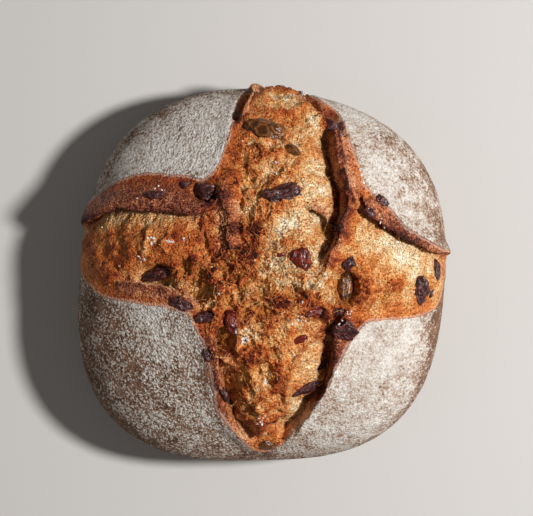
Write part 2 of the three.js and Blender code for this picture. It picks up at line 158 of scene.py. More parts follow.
def locate(line, u, v):
    """Distance from a line (above 0 on its left), millimetres along it, and the direction to its left."""
    best = np.full(len(u), np.inf)
    side = np.ones(len(u))
    along = np.zeros(len(u))
    left = np.zeros((len(u), 2))
    for i, (a, b) in enumerate(zip(line[:-1], line[1:])):
        d = b - a
        size = d @ d
        t = np.clip(((u - a[0]) * d[0] + (v - a[1]) * d[1]) / size, 0, 1)
        du, dv = u - a[0] - t * d[0], v - a[1] - t * d[1]
        distance = du * du + dv * dv
        near = distance < best
        best = np.where(near, distance, best)
        n = np.array([-d[1], d[0]]) / math.sqrt(size)
        side = np.where(near, np.where(du * n[0] + dv * n[1] < 0, -1, 1), side)
        along = np.where(near, (i + t) * math.sqrt(size), along)
        left[near] = n
    return np.sqrt(best) * side, along, left


def length_of(line):
    return np.linalg.norm(np.diff(line, axis=0), axis=1).sum()


def taper(along, line, over=11):
    """1 along a line, and 0 at its two ends."""
    return smooth(along / over) * smooth((length_of(line) - along) / over)


# %% [markdown]
# ## Unevenness
# Dough tears unevenly at every size. Three kinds of noise are used: soft bumps, thin winding ridges,
# and the bowls that broken bubbles leave, with sharp walls between them.

# %% Three kinds of noise, with sizes in millimetres
NOISE_SEED = 8
noise.seed_set(NOISE_SEED)  # without it, noise vectors differ each time that Blender starts


def rough(points, size, octaves=3, seed=0):
    """Soft bumps from about -1 to 1."""
    return np.array([noise.fractal(p, 1.0, 2.0, octaves) for p in (points / size + seed * 17.3).tolist()])


def ridges(points, size, seed=0):
    """From 0 to 1, highest on thin winding lines."""
    values = np.array([noise.noise(p) for p in (points / size + seed * 31.7).tolist()])
    return 1 - np.minimum(np.abs(values) * 3, 1)


def bubbles(points, size, seed=0):
    """From -1 in the middle of a bubble to about 0 on the walls between bubbles."""
    near = np.array([noise.voronoi(p)[0][0] for p in (points / size + seed * 11.9).tolist()])
    return np.minimum((near / 0.75) ** 2, 1.2) - 1


# %% [markdown]
# ## The cut and its tears
# The cut is a cross. Where the crust tore, one side stands up as an ear and the other drops into a
# crack: each tear is listed with the heights and widths of both. Folds are long soft ridges and
# grooves, mounds are round swellings and pockets. The middle of each is given as seen from above, from
# the middle of the dome.

# %% Where the crust has opened
CUT_EDGE = [
    (3, 121), (-4, 110), (-14, 102), (-21, 75), (-32, 55),
    (-45, 56), (-66, 58), (-84, 54), (-97, 44), (-107, 31), (-111, 14), (-104, -5),
    (-92, -14), (-71, -18), (-51, -22), (-40, -29),
    (-35, -44), (-32, -62), (-28, -79), (-18, -94), (-1, -105),
    (9, -102), (23, -89), (37, -73), (46, -54), (51, -40), (60, -29),
    (77, -27), (96, -24), (104, -17), (107, -5), (110, 8),
    (98, 20), (83, 29), (71, 41), (60, 49),
    (57, 59), (51, 76), (45, 92), (35, 101), (25, 107), (17, 121),
]
# The ear is left of the line: its rise, the width behind its edge, and the width over which that edge is
# rounded. The crack is right of it: its drop and width, how fast its floor falls, the overhang, half the
# width of a slanting wall and the reach of the strands. An edge above 0 is baked darker than the rest;
# one below 0, where it is thin, is painted paler, a painted highlight along the rim.
Tear = namedtuple("Tear", "line rise behind round drop before curve over slope strands edge")
TEARS = [
    Tear([(18, 107), (26, 102), (33, 96), (38, 91)],
         2.5, 5, 0.8, 4, 6, 1.4, 0.6, 0.0, 0, 0.15),
    Tear([(37, 87), (40, 78), (43, 60), (47, 46), (46, 36)],
         6.0, 12, 2.0, 13, 13, 1.5, 1.0, 1.0, 12, 0.1),
    Tear([(47, 47), (46, 36), (42, 20), (34, 3)],
         5.5, 5, 1.0, 13, 13, 1.5, 1.0, 0.6, 12, 0.5),
    Tear([(57, 48), (59, 38), (67, 30), (84, 19), (103, 12), (113, 8)],
         5.0, 12, 1.2, 8, 13, 1.4, 3.0, 0.0, 14, 0.4),
    Tear([(-111, 24), (-99, 31), (-88, 36), (-60, 36), (-27, 33)],
         7.5, 20, 7.0, 6.5, 12, 1.4, 2.5, 0.0, 12, 0.2),
    Tear([(-29, 54), (-21, 36), (-19, 8)],
         1.2, 8, 3.0, 1.0, 5, 1.4, 0.0, 2.0, 0, 0.0),
    Tear([(21, 39), (32, 34), (47, 19)],
         3.0, 8, 1.2, 6.5, 9, 1.4, 1.5, 0.0, 8, 0.15),
    Tear([(44, -22), (42, -42), (40, -61), (33, -75), (23, -89), (9, -100)],
         2.5, 9, 1.0, 13, 24, 1.1, 1.6, 0.4, 12, 0.1),
    Tear([(-3, -100), (-15, -92), (-24, -71), (-27, -51), (-30, -31)],
         3.0, 6, 0.8, 8.5, 13, 1.5, 0.6, 0.8, 10, -0.3),
    Tear([(-33, -22), (-51, -11), (-71, -6), (-88, -5)],
         2.5, 9, 1.4, 5.5, 10, 1.4, 0.5, 0.5, 12, -0.1),
    Tear([(-14, 82), (-11, 91), (-7, 101), (-3, 109), (2, 118)],
         5.5, 3.2, 0.6, 2.5, 5, 1.4, 0.8, 0.0, 0, -0.2),
]
# line, height, half width, how crisp its crest is, and how much darker its crest is baked; a crest
# below 0 is painted paler, a painted highlight
FOLDS = [
    ([(-23, 54), (-17, 32), (-15, 8), (-8, -4)], 1.6, 4.5, 0.0, 0.0),
    ([(-12, 52), (-13, 30), (-11, 12)], -2.5, 3.0, 0.5, 0.0),
    ([(26, 110), (33, 101)], -3.0, 3.0, 0.0, 0.0),
    ([(-64, 27), (-65, 16), (-70, 6)], 2.4, 2.2, 1.0, -0.15),
    ([(-52, 23), (-55, 16), (-51, 8)], 1.8, 1.8, 1.0, -0.15),
    ([(103, 6), (102, -5), (97, -15)], -4.0, 3.5, 0.3, 0.0),
    ([(-2, -29), (22, -17), (40, 2)], 3.5, 6.0, 0.4, -0.06),
    ([(-8, -42), (-3, -70), (5, -94)], 3.5, 9.0, 0.0, 0.0),
    ([(11, -74), (23, -68), (36, -61)], 5.0, 2.5, 1.0, -0.15),
    ([(-28, -44), (-22, -47), (-17, -51), (-13, -56)], 4.5, 1.8, 1.0, -0.15),
    ([(-17, -24), (-14, -40), (-13, -56)], 3.0, 4.0, 0.5, -0.07),
    ([(11, -77), (12, -65), (14, -56), (19, -48), (28, -38), (38, -29)], 3.6, 3.5, 1.0, 0.25),
    ([(-17, 85), (-14, 96), (-7, 108)], -4.0, 3.4, 0.3, 0.0),
    ([(-13, -7), (-1, -16), (15, -23)], 2.5, 4.0, 0.6, -0.09),
    ([(42, 86), (45, 78), (48, 59), (51, 44), (49, 32)], 2.2, 1.8, 1.0, 0.7),
]
# middle, half sizes across and along, height, and how steep the rim is (1 is a soft mound)
MOUNDS = [
    ((9, 55), (25, 42), 3.5, 1),
    ((-60, 17), (42, 17), 4.5, 1),
    ((73, -4), (30, 20), 3.5, 1),
    ((-21, -38), (7, 10), -4.5, 2),
    ((-19, -73), (9, 22), -5.5, 2),
    ((-62, -1), (14, 8), -5.5, 2.2),
    ((-33, -11), (8, 6), -4.5, 1.8),
    ((-44, 2), (5, 6), -3.5, 1.8),
    ((-20, -15), (5, 4), -3, 1.7),
    ((-1, -9), (9, 7), -4, 1.7),
    ((17, -10), (6, 5), -3, 1.7),
    ((47, -9), (8, 13), -6, 1.8),
    ((33, 25), (6, 5), -3.5, 1.7),
    ((42, 87), (6, 8), -6, 1.5),
    ((28, -77), (8, 6), -5.5, 1.8),
    ((35, -53), (5, 9), -5, 1.6),
    ((69, -14), (5, 4), -2, 1.6),
    ((-98, 5), (2.2, 2.6), -1.8, 1.4),
    ((-83, 3), (1.8, 1.8), -1.5, 1.4),
    ((-6, -62), (2, 2), -2.4, 1.4),
    ((-33, 19), (2.6, 5.5), -2.6, 1.4),
    ((63, 45), (4, 3.5), -3, 1.5),
    ((-34, 48), (10, 7), -3.5, 1.6),
]
SWELL, SWELL_WIDTH = 2.6, 14  # of the crumb inside the cut
LIP, LIP_WIDTH = 1.3, 7  # of the crust along the cut
EDGE_FADE = (112, 140)  # from the middle, where the relief grows weaker
EDGE_KEEP = 0.45  # and its strength beyond that
WALL = 2.4  # half the width, on the map, that a torn wall is made from

cut_edge = trace(CUT_EDGE, closed=True)
tears = [tear._replace(line=trace(tear.line)) for tear in TEARS]
folds = [(trace(line), *sizes) for line, *sizes in FOLDS]
mounds = [(to_map(at)[0], *sizes) for at, *sizes in MOUNDS]
print("the cut's edge is %.0f mm long" % length_of(cut_edge))

# %% [markdown]
# ## Relief
# `relief` adds up the features. A tear moves its own edge over the crack, so that the ear overhangs,
# and squeezes the places near its line together, which gives the steep wall enough points to be torn
# rather than faceted. The places are first moved about by noise, so that no torn edge runs smoothly.

# %% Unevenness of the torn lines
WANDER = [(11, 1.5), (3.2, 0.7), (1.7, 0.35)]  # width and size of the unevenness of every torn line
EDGE_WANDER = 0.6


def wander(flat, seed):
    return sum(size * rough(flat, width, 2, seed + i) for i, (width, size) in enumerate(WANDER))


# %% The form of one tear
ROUND_LOSS = 1 / 15  # share of an ear's height that its edge loses for each millimetre that it is rounded
EDGE_BAKED = 1.2  # width of the darker or paler edge
EDGE_AT = 0.8  # where that edge lies, as a share of half the wall
SQUEEZE_REACH = 1.1  # of the width of the ear or the crack
FACE_WIDTH = 4.5  # of the torn face below an ear's crest
STRAND_WIDTHS = (1.6, 3.4)
STRAND_LENGTH = 10
STRAND_WARP, STRAND_WARP_WIDTH = 1.6, 7


def across_tear(distance, tear):
    """Height over a tear, share of the full shift, and how much ear, crack, edge and torn face there is."""
    wall = WALL + tear.slope
    kept = 1 - ROUND_LOSS * tear.round
    past = np.maximum(np.abs(distance) - wall, 0)
    rounded = 1 - (1 - kept) * (1 - np.minimum(past / tear.round, 1)) ** 2
    high = tear.rise * (1 - smooth(past / tear.behind)) * rounded
    low = -tear.drop * (1 - np.minimum(past / tear.before, 1)) ** tear.curve
    up_wall = smooth((distance + wall) / (2 * wall))
    climb = -tear.drop + (tear.rise * kept + tear.drop) * up_wall
    height = np.where(distance > wall, high, np.where(distance < -wall, low, climb))
    width = np.where(distance > 0, tear.behind, tear.before)
    squeeze = (1 - smooth(past / (width * SQUEEZE_REACH))) * np.clip(distance / wall, -1, 1)
    ear = np.where(distance > -wall, 1 - smooth(past / tear.behind), 0)
    crack = np.where(distance < wall, 1 - smooth(past / tear.before), 0)
    edge = np.exp(-(((distance - wall * EDGE_AT) / EDGE_BAKED) ** 2))
    face = smooth(distance / wall) * (1 - smooth((distance - wall) / FACE_WIDTH))
    return height, squeeze, ear, crack, edge, face


def pulled_strands(distance, along, tear, number):
    """Thin ridges of dough that were pulled across a crack as it opened."""
    here = np.stack([along, distance, 0 * along], axis=1)
    warp = STRAND_WARP * rough(here, STRAND_WARP_WIDTH, 2, seed=40 + number)
    own = np.full(len(along), number * 5.0)
    strand = np.zeros(len(along))
    for i, width in enumerate(STRAND_WIDTHS):
        fibre = np.stack([(along + warp) / width, distance / STRAND_LENGTH, own], axis=1)
        strand = np.maximum(strand, ridges(fibre, 1.0, seed=number + 7 * i))
    return strand


# %% Add up the features
TEAR_REACH = 60  # beyond this a tear does nothing
CREST_CURVE = 1.5
FOLD_END = 7  # length over which a fold runs out


def add_tears(u, v, height, sums):
    """Adds every tear to the height and the sums, and gives back how far it moves each place."""
    shift = np.zeros((len(u), 2))
    for number, tear in enumerate(tears):
        distance, along, left = locate(tear.line, u, v)
        distance = distance + tear.slope
        ends = taper(along, tear.line) * (np.abs(distance) < TEAR_REACH)
        step, squeeze, ear, crack, edge, face = across_tear(distance, tear)
        height += ends * step
        shift -= (ends * squeeze * (WALL + tear.over))[:, None] * left
        sums["edge"] += ends * edge * tear.edge
        for name, here in (("ear", ear), ("crack", crack), ("face", face)):
            sums[name] = np.maximum(sums[name], ends * here)
        if tear.strands:
            pull = ends * (distance < 0) * (1 - smooth((-distance - tear.strands * 0.5) / tear.strands))
            pulled = pull > 0.02
            strand = pull[pulled] * pulled_strands(distance[pulled], along[pulled], tear, number)
            sums["strand"][pulled] = np.maximum(sums["strand"][pulled], strand)
    return shift


def add_forms(u, v, height, sums):
    """Adds folds and mounds."""
    for line, tall, width, crisp, bake in folds:
        distance, along, _ = locate(line, u, v)
        away = np.minimum(np.abs(distance) / width, 1)
        form = (1 - crisp) * (1 - smooth(away)) + crisp * (1 - away) ** CREST_CURVE
        height += taper(along, line, FOLD_END) * tall * form
        sums["edge"] += bake * taper(along, line, FOLD_END) * (1 - away) ** 2
    for at, size, tall, steep in mounds:
        away = np.hypot((u - at[0]) / size[0], (v - at[1]) / size[1])
        form = 1 - smooth((away - 1) * steep + 1)
        height += tall * form
        sums["hollow"] = np.maximum(sums["hollow"], form * (tall < 0))


def relief(u, v):
    """Height, shift along the skin, and how much of each feature a place is."""
    flat = np.stack([u, v, np.zeros(len(u))], axis=1)
    from_middle = np.hypot(u, v)
    inside, _, _ = locate(cut_edge, u, v)
    inside = inside + EDGE_WANDER * rough(flat, 5, 3, seed=25)
    u, v = u + wander(flat, 31), v + wander(flat, 35)
    burst = smooth(inside / SWELL_WIDTH)
    height = SWELL * burst + LIP * (1 - smooth(np.abs(inside) / LIP_WIDTH))
    sums = {name: np.zeros(len(u)) for name in ("ear", "crack", "strand", "edge", "face", "hollow")}
    shift = add_tears(u, v, height, sums)
    add_forms(u, v, height, sums)
    start, end = EDGE_FADE
    fade = 1 - (1 - EDGE_KEEP) * smooth((from_middle - start) / (end - start))
    return height * fade, shift * (fade**2)[:, None], {"cut": inside, "flat": flat, "burst": burst, **sums}


# %% [markdown]
# ## One mesh for crust and crumb
# The mesh begins as a cube whose faces are cut into a grid and pushed out to a ball. The ball is then
# mapped on the loaf so that small squares stay square, with the top taking most of it, and the faces of
# the burst are divided again: torn crumb needs a point every half millimetre, a floured crust doesn't.

# %% Helpers for meshes
def only(piece):
    bpy.ops.object.select_all(action="DESELECT")
    piece.select_set(True)
    bpy.context.view_layer.objects.active = piece


def places_of(mesh):
    co = np.empty(len(mesh.vertices) * 3)
    mesh.vertices.foreach_get("co", co)
    return co.reshape(-1, 3)


def put(mesh, points):
    mesh.vertices.foreach_set("co", np.asarray(points, float).ravel())
    mesh.update()


def shade_smooth(piece):
    piece.data.polygons.foreach_set("use_smooth", np.ones(len(piece.data.polygons), bool))


def add_ball(name, cuts):
    """A ball of even squares: a cube's grid, with its lines moved so that the squares come out alike."""
    bpy.ops.object.select_all(action="DESELECT")
    bpy.ops.mesh.primitive_cube_add(size=2)
    ball = bpy.context.object
    ball.name = ball.data.name = name
    bpy.ops.object.mode_set(mode="EDIT")
    bpy.ops.mesh.select_all(action="SELECT")
    bpy.ops.mesh.subdivide(number_cuts=cuts)
    bpy.ops.mesh.select_all(action="DESELECT")
    bpy.ops.object.mode_set(mode="OBJECT")
    co = np.tan(places_of(ball.data) * math.pi / 4)
    put(ball.data, co / np.linalg.norm(co, axis=1, keepdims=True))
    return ball


# %% From the ball to the map
RIM_POLAR = math.radians(128)  # where the rim lies on the ball

_lengths = np.linspace(0.02, TO_END - 0.02, 6000)
_out, _, _, _ = profile(np.interp(_lengths, LENGTHS, PLACES), RADIUS)
_turns = np.cumsum(np.gradient(_lengths) / _out)
_turns += math.log(math.tan(RIM_POLAR / 2)) - np.interp(TO_RIM, _lengths, _turns)


def ball_to_map(co):
    polar = np.arccos(np.clip(co[:, 2] / np.linalg.norm(co, axis=1), -1, 1))
    polar = np.clip(polar, 1e-4, math.pi - 1e-4)
    length = np.interp(np.log(np.tan(polar / 2)), _turns, _lengths)
    angle = np.arctan2(co[:, 1], co[:, 0])
    return length * np.cos(angle), length * np.sin(angle)


# %% Make the ball, fine where the crust has burst
GRID_CUTS = 38
BURST_CUTS = 3
BURST_MARGIN = 2.5


def face_middles(mesh):
    middles = np.empty(len(mesh.polygons) * 3)
    mesh.polygons.foreach_get("center", middles)
    return middles.reshape(-1, 3)


loaf = add_ball("loaf_crust", GRID_CUTS)
only(loaf)
u, v = ball_to_map(face_middles(loaf.data))
inside, _, _ = locate(cut_edge, u, v)
chosen = inside > -BURST_MARGIN
bpy.context.tool_settings.mesh_select_mode = (False, False, True)
loaf.data.polygons.foreach_set("select", chosen)
bpy.ops.object.mode_set(mode="EDIT")
bpy.ops.mesh.subdivide(number_cuts=BURST_CUTS)
bpy.ops.mesh.select_all(action="DESELECT")
bpy.ops.mesh.select_face_by_sides(number=4, type="GREATER")
bpy.ops.mesh.quads_convert_to_tris()
bpy.ops.object.mode_set(mode="OBJECT")
triangles = sum(len(p.vertices) - 2 for p in loaf.data.polygons)
print("loaf mesh:", len(loaf.data.vertices), "points,", triangles, "triangles")
print("fine faces:", chosen.sum(), "of", len(chosen))

# %% [markdown]
# ## Dried fruit, read from the frame
# Each fruit is a solid of the frame. Its middle, its three axes and its half sizes are worked out from
# that solid's own points, so the wrinkled fruit that replaces it lies exactly where it does, and the
# crumb can be hollowed round it.

# %% Where each fruit lies
class Fruit:
    def __init__(self, node):
        points = np.array([p.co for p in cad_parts[node].data.vertices]) / MM
        self.node = node
        self.middle = (points.min(axis=0) + points.max(axis=0)) / 2
        _, _, axes = np.linalg.svd(points - points.mean(axis=0), full_matrices=False)
        if axes[2] @ (self.middle - (0, 0, 20)) < 0:
            axes[2] = -axes[2]
        axes[1] = np.cross(axes[2], axes[0])
        self.axes = axes
        self.half = np.abs((points - self.middle) @ axes.T).max(axis=0)


fruit_nodes = sorted(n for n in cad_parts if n.split("_")[0] in ("sultana", "raisin", "cranberry"))
fruits = [Fruit(n) for n in fruit_nodes]
print("fruit:", len(fruits))

# %% [markdown]
# ## Patches
# Baking isn't even. A few soft patches say where this loaf is more ragged, paler or darker than
# elsewhere: each has a middle as seen from above, half sizes and a value, and a place takes the mean of
# the patches near it.

# %% Blend patches
def blend_patches(u, v, patches, elsewhere):
    """Mean of the patches' values, each weighed by how near its middle a place is."""
    total, weight = elsewhere * 0.02, 0.02
    for at_u, at_v, size_u, size_v, turn, value in patches:
        du = (u - at_u) * math.cos(turn) + (v - at_v) * math.sin(turn)
        dv = (v - at_v) * math.cos(turn) - (u - at_u) * math.sin(turn)
        near = np.exp(-1.6 * ((du / size_u) ** 2 + (dv / size_v) ** 2))
        total, weight = total + near * value, weight + near
    return total / weight


def as_patches(rows):
    return [(*to_map((x, y))[0], across, up, 0, value) for x, y, across, up, value in rows]


# %% [markdown]
# ## Shaping the loaf
# The relief is laid on the skin first. Then the crumb gets what a tear leaves in dough: strands pulled
# across the crack, ledges, broken bubbles from large to small and a web of fine threads. Last, the
# surface is hollowed where a fruit sits in it. The hollow's edge is uneven, so that some crumb laps
# over the fruit.

# %% How ragged the crumb is
# middle, half sizes, and how ragged the crumb is (0 smooth, 1 ragged)
RAGGED = [
    (0, -10, 26, 20, 1.0), (-32, -10, 18, 16, 1.0), (-4, -62, 10, 34, 0.9), (47, -10, 10, 14, 0.8),
    (2, 45, 16, 30, 0.75), (12, 88, 12, 14, 0.4), (30, 95, 12, 12, 0.6), (-66, 14, 30, 12, 0.22),
    (-95, 8, 16, 18, 0.12), (80, 8, 24, 12, 0.12), (78, -23, 24, 5, 0.1), (72, -10, 8, 8, 0.45),
    (22, -48, 8, 16, 0.2), (-66, 46, 40, 8, 0.3), (52, 60, 8, 30, 0.3), (24, 50, 7, 30, 0.3),
    (-22, -36, 6, 14, 0.45), (-19, -72, 6, 18, 0.55), (-20, 60, 8, 30, 0.5), (-70, 30, 34, 5, 0.25),
]
RAGGED_ELSEWHERE = 0.5
FACE_RAGGED = 0.3
EAR_SKIN, TORN_SKIN = 1.4, 0.6  # an ear keeps its skin, a crack and a torn face lose it
SKIN_SMOOTHS = 0.5  # share of the raggedness that a skin takes away
SKIN_CLOSES = 0.75  # share of the open crumb that a skin hides
OPEN_LEAST = 0.12  # share of the crumb's relief that even its smoothest places have


def raggedness(u, v, fields):
    """Share of skin, how ragged the crumb is, and how much of the crumb's own relief a place gets."""
    skin_share = fields["ear"] * EAR_SKIN - (fields["crack"] + fields["face"]) * TORN_SKIN
    skin_share = np.clip(skin_share, 0, 1)
    ragged = blend_patches(u, v, as_patches(RAGGED), RAGGED_ELSEWHERE) + FACE_RAGGED * fields["face"]
    ragged *= fields["burst"] * (1 - SKIN_SMOOTHS * skin_share)
    bare = np.clip(fields["burst"] * (1 - SKIN_CLOSES * skin_share), 0, 1)
    return skin_share, ragged, bare * (OPEN_LEAST + (1 - OPEN_LEAST) * ragged)


# %% Strands, ledges, bubbles and threads
BUMPS = [(10, 3.0), (4.6, 1.5)]  # width and height
BUBBLES = [(8, 4.2), (3.8, 2.2), (2.1, 1.0)]  # width and depth
THREADS = [(4.2, 0.9), (2.0, 0.8)]  # spacing and height
JOLT, JOLT_WIDTH = 0.8, 5  # how far, and over what width, the crumb's own places are moved about
LEDGE_HEIGHT, LEDGE_WIDTH = 3.0, 17
LEDGES = 4
LEDGE_RISER = (0.35, 0.3)  # where a riser starts and how long it is, as shares of a tread
STRAND_HEIGHT, STRAND_MIDDLE = 1.1, 0.35
STRAND_HIDES = 0.7  # share of the fine threads that a strand replaces
STRAND_TIP = 0.8


def ledges(values):
    """Turns an even slope into treads with steep risers between them."""
    whole = np.floor(values)
    start, share = LEDGE_RISER
    return whole + smooth((values - whole - start) / share)


def torn_crumb(flat, strand, open_crumb, ragged):
    """Height of the crumb's broad forms and of its fine ones, at places that are torn open."""
    moved = flat + JOLT * np.stack([rough(flat, JOLT_WIDTH, 2, seed) for seed in (51, 52, 53)], axis=1)
    broad = sum(tall * rough(moved, width, seed=i + 1) for i, (width, tall) in enumerate(BUMPS))
    for i, (width, deep) in enumerate(BUBBLES):
        many = smooth(0.7 + rough(moved, width * 3, 1, seed=60 + i))
        broad += deep * (bubbles(moved, width, seed=i) + 0.5) * many
    spacings = enumerate(THREADS)
    threads = sum(tall * (ridges(moved, width, seed=70 + i) - 0.4) for i, (width, tall) in spacings)
    threads *= 1 - STRAND_HIDES * (strand > 0.05)
    tread = LEDGE_HEIGHT / LEDGES * ledges(LEDGES * rough(moved, LEDGE_WIDTH, 2, seed=80))
    return open_crumb * broad + ragged * tread, open_crumb * threads


# %% Hollows for the fruit
HOLLOW_REACH = 0.95  # of the fruit's own half sizes
HOLLOW_DEPTH = 0.8
LAP, LAP_WIDTH = 0.3, 4  # unevenness of the hollow's edge


def seat_fruit(points):
    """Lowers the points over each fruit, and says which ones they are."""
    under = np.zeros(len(points))
    for number, fruit in enumerate(fruits):
        q = (points - fruit.middle) @ fruit.axes.T / fruit.half
        around = np.nonzero((np.abs(q) < (2, 2, 4)).all(axis=1))[0]
        q = q[around]
        edge = 1 + LAP * rough(points[around], LAP_WIDTH, 2, seed=90 + number)
        away = np.hypot(q[:, 0], q[:, 1]) / (HOLLOW_REACH * edge)
        floor = -HOLLOW_DEPTH * (1 - away**2)
        depth = np.where(away < 1, np.maximum(q[:, 2] - floor, 0) * (1 - away**6), 0) * fruit.half[2]
        points[around] -= depth[:, None] * fruit.axes[2]
        under[around] = np.maximum(under[around], away < 1)
    return under


# %% Shape the loaf
CRUST_BUMPS, CRUST_BUMP_WIDTH = 0.15, 6
EASED_ABOVE, EASED_OVER = 99.5, 3.3


def shape_loaf():
    u, v = ball_to_map(places_of(loaf.data))
    height, shift, fields = relief(u, v)
    flat = fields["flat"]
    skin_share, ragged, open_crumb = raggedness(u, v, fields)
    torn = np.nonzero(open_crumb > 0.01)[0]
    strand = fields["strand"][torn]
    tip, crest = np.zeros(len(u)), np.zeros(len(u))
    crest[torn], threads = torn_crumb(flat[torn], strand, open_crumb[torn], ragged[torn])
    pulled = STRAND_HEIGHT * (strand - STRAND_MIDDLE) * (strand > 0)
    tip[torn] = threads + STRAND_TIP * pulled
    height[torn] += crest[torn] + threads + pulled * fields["burst"][torn]
    crust = (1 - fields["burst"]) * (np.hypot(u, v) < TO_BASE - CRUST_BUMP_WIDTH)
    height += CRUST_BUMPS * crust * rough(flat, CRUST_BUMP_WIDTH, 2, seed=6)
    points, normals = skin(u + shift[:, 0], v + shift[:, 1])
    points = points + normals * height[:, None]
    under = seat_fruit(points)
    fields.update(u=u, v=v, skin=skin_share, tip=tip, crest=crest, ragged=ragged, under=under)
    return points, fields


points, fields = shape_loaf()
points[:, 2] = np.maximum(points[:, 2], 0)
# the crumb's highest bumps are eased down, so that the loaf is no taller than its solid
over = np.maximum(points[:, 2] - EASED_ABOVE, 0)
points[:, 2] += EASED_OVER * (1 - np.exp(-over / EASED_OVER)) - over
put(loaf.data, points * MM)
shade_smooth(loaf)
print("loaf from", points.min(axis=0).round(1), "to", points.max(axis=0).round(1))

# %% [markdown]
# ## What the materials need to know
# A node material can't tell a floured crust from torn crumb, so the mesh carries a few numbers at each
# point: how far inside the cut it lies, how dark it is baked, with some painted shade and painted
# highlight in that, how much of a smooth skin it has, how thick the flour is, how deep in a crack it
# lies, where the crumb stayed moist and pale, how ragged it is and where a burst bubble left it glassy.
# What stands up turns golden: it is darker than moist crumb and lighter than the brown round it. A
# thread that stands up is also painted paler, a painted highlight, and the gaps between threads
# darker, a painted shade.

# %% How dark it is baked
# middle as seen from above, half sizes, and how dark it is baked (0 pale crumb, 1 dark brown)
# some darker patches are partly painted shade: the pits round the fruit at (42, 87) and (-33, 48), the
# cavity at (35, -38) and the lip at (42, -57), which faces away from the lamp, are painted darker than
# their crumb
BAKED = [
    (-20, 59, 10, 35, 0.60), (-24, 33, 5, 23, 0.62), (1, 52, 18, 27, 0.36), (-1, 34, 12, 8, 0.42),
    (-10, 25, 11, 4, 0.84), (-24, 5, 12, 6, 0.80), (-18, -13, 9, 5, 0.42), (20, 25, 12, 11, 0.0),
    (22, -7, 10, 6, 0.12), (4, -24, 16, 4, 0.84), (26, 44, 9, 32, 0.20), (30, 76, 6, 13, 0.24),
    (10, 99, 14, 7, 0.30), (14, 90, 7, 5, 0.62), (52, 60, 5, 28, 0.54), (42, 56, 4, 26, 0.62),
    (47, 27, 5, 17, 0.60), (42, 87, 5, 6, 0.85), (-66, 45, 36, 9, 0.67), (-33, 48, 13, 9, 0.85),
    (-99, 31, 8, 7, 0.78), (-77, 29, 32, 5, 0.22), (-65, 14, 32, 14, 0.52), (-90, 6, 15, 16, 0.55),
    (-36, 18, 15, 14, 0.58), (-33, -5, 17, 12, 0.50), (-59, -5, 13, 4, 0.25), (-83, -13, 26, 6, 0.60),
    (-45, 2, 12, 8, 0.68), (-33, -14, 9, 5, 0.30), (-13, 6, 7, 15, 0.68), (-1, -9, 9, 6, 0.40),
    (14, -3, 10, 9, 0.20), (21, 19, 13, 8, 0.35), (13, -16, 20, 6, 0.66), (7, -30, 17, 9, 0.36),
    (-22, -36, 5, 12, 0.66), (-19, -71, 6, 19, 0.62), (-3, -71, 10, 29, 0.50), (23, -48, 9, 18, 0.26),
    (19, -81, 8, 10, 0.25), (42, -57, 6, 25, 0.78), (-31, -59, 5, 24, 0.68), (-1, -98, 12, 6, 0.50),
    (83, 25, 23, 6, 0.76), (84, 8, 17, 10, 0.08), (63, 22, 12, 8, 0.15), (66, -5, 12, 15, 0.46),
    (77, -23, 23, 4, 0.45), (102, -8, 5, 13, 0.30), (47, -7, 8, 14, 0.55), (47, 13, 7, 8, 0.45),
    (49, -26, 10, 7, 0.78), (38, -10, 7, 12, 0.34), (35, -38, 5, 12, 0.75), (30, -72, 9, 8, 0.70),
]
BAKED_ELSEWHERE = 0.5
GOLDEN = 0.38
TIP_BAKES = 0.55  # a thread is this much nearer to golden for each millimetre that it stands up
# a thread that stands up is painted paler by this much for each millimetre, a painted highlight, and a gap
# between threads as much darker, a painted shade
TIP_PAINTED_LIGHT = 0.12
# a torn face below an ear's crest is made darker by this much, partly its own browning and partly painted
# shade of that wall, which faces away from the lamp
FACE_BAKES_AND_SHADE = 0.16
CREST_BAKES = 0.07  # a crest is this much darker for each millimetre, and a pit as much paler
CREST_MIDDLE, CREST_LIMIT = 0.3, 2.5
UNEVEN_BAKE = [(13, 0.12, 0.0), (4, 0.08, 0.2)]  # width, size, and what is added where the crumb is ragged
# an edge above 0 is baked darker; one below 0 is painted paler, a painted highlight along a thin rim
EDGE_BAKES_AND_HIGHLIGHT, EDGE_UNEVEN, EDGE_UNEVEN_WIDTH = 0.7, 0.9, 2.2


def bake(u, v, fields):
    flat = fields["flat"]
    baked = blend_patches(u, v, as_patches(BAKED), BAKED_ELSEWHERE)
    for i, (width, size, more) in enumerate(UNEVEN_BAKE):
        baked += (size + more * fields["ragged"]) * rough(flat, width, 2 + i, seed=21 + i)
    # baked edges, and painted highlights on the thin rims
    baked += fields["edge"] * (EDGE_BAKES_AND_HIGHLIGHT + EDGE_UNEVEN * rough(flat, EDGE_UNEVEN_WIDTH, 2, seed=23))
    # the torn face gets painted shade as well as baking
    baked += FACE_BAKES_AND_SHADE * fields["face"]
    baked += CREST_BAKES * np.clip(fields["crest"] - CREST_MIDDLE, -CREST_LIMIT, CREST_LIMIT)
    baked += TIP_BAKES * fields["tip"] * (GOLDEN - baked)
    # painted highlight on the threads that stand up, painted shade in the gaps between them
    return baked - TIP_PAINTED_LIGHT * np.clip(fields["tip"], -1, 1)


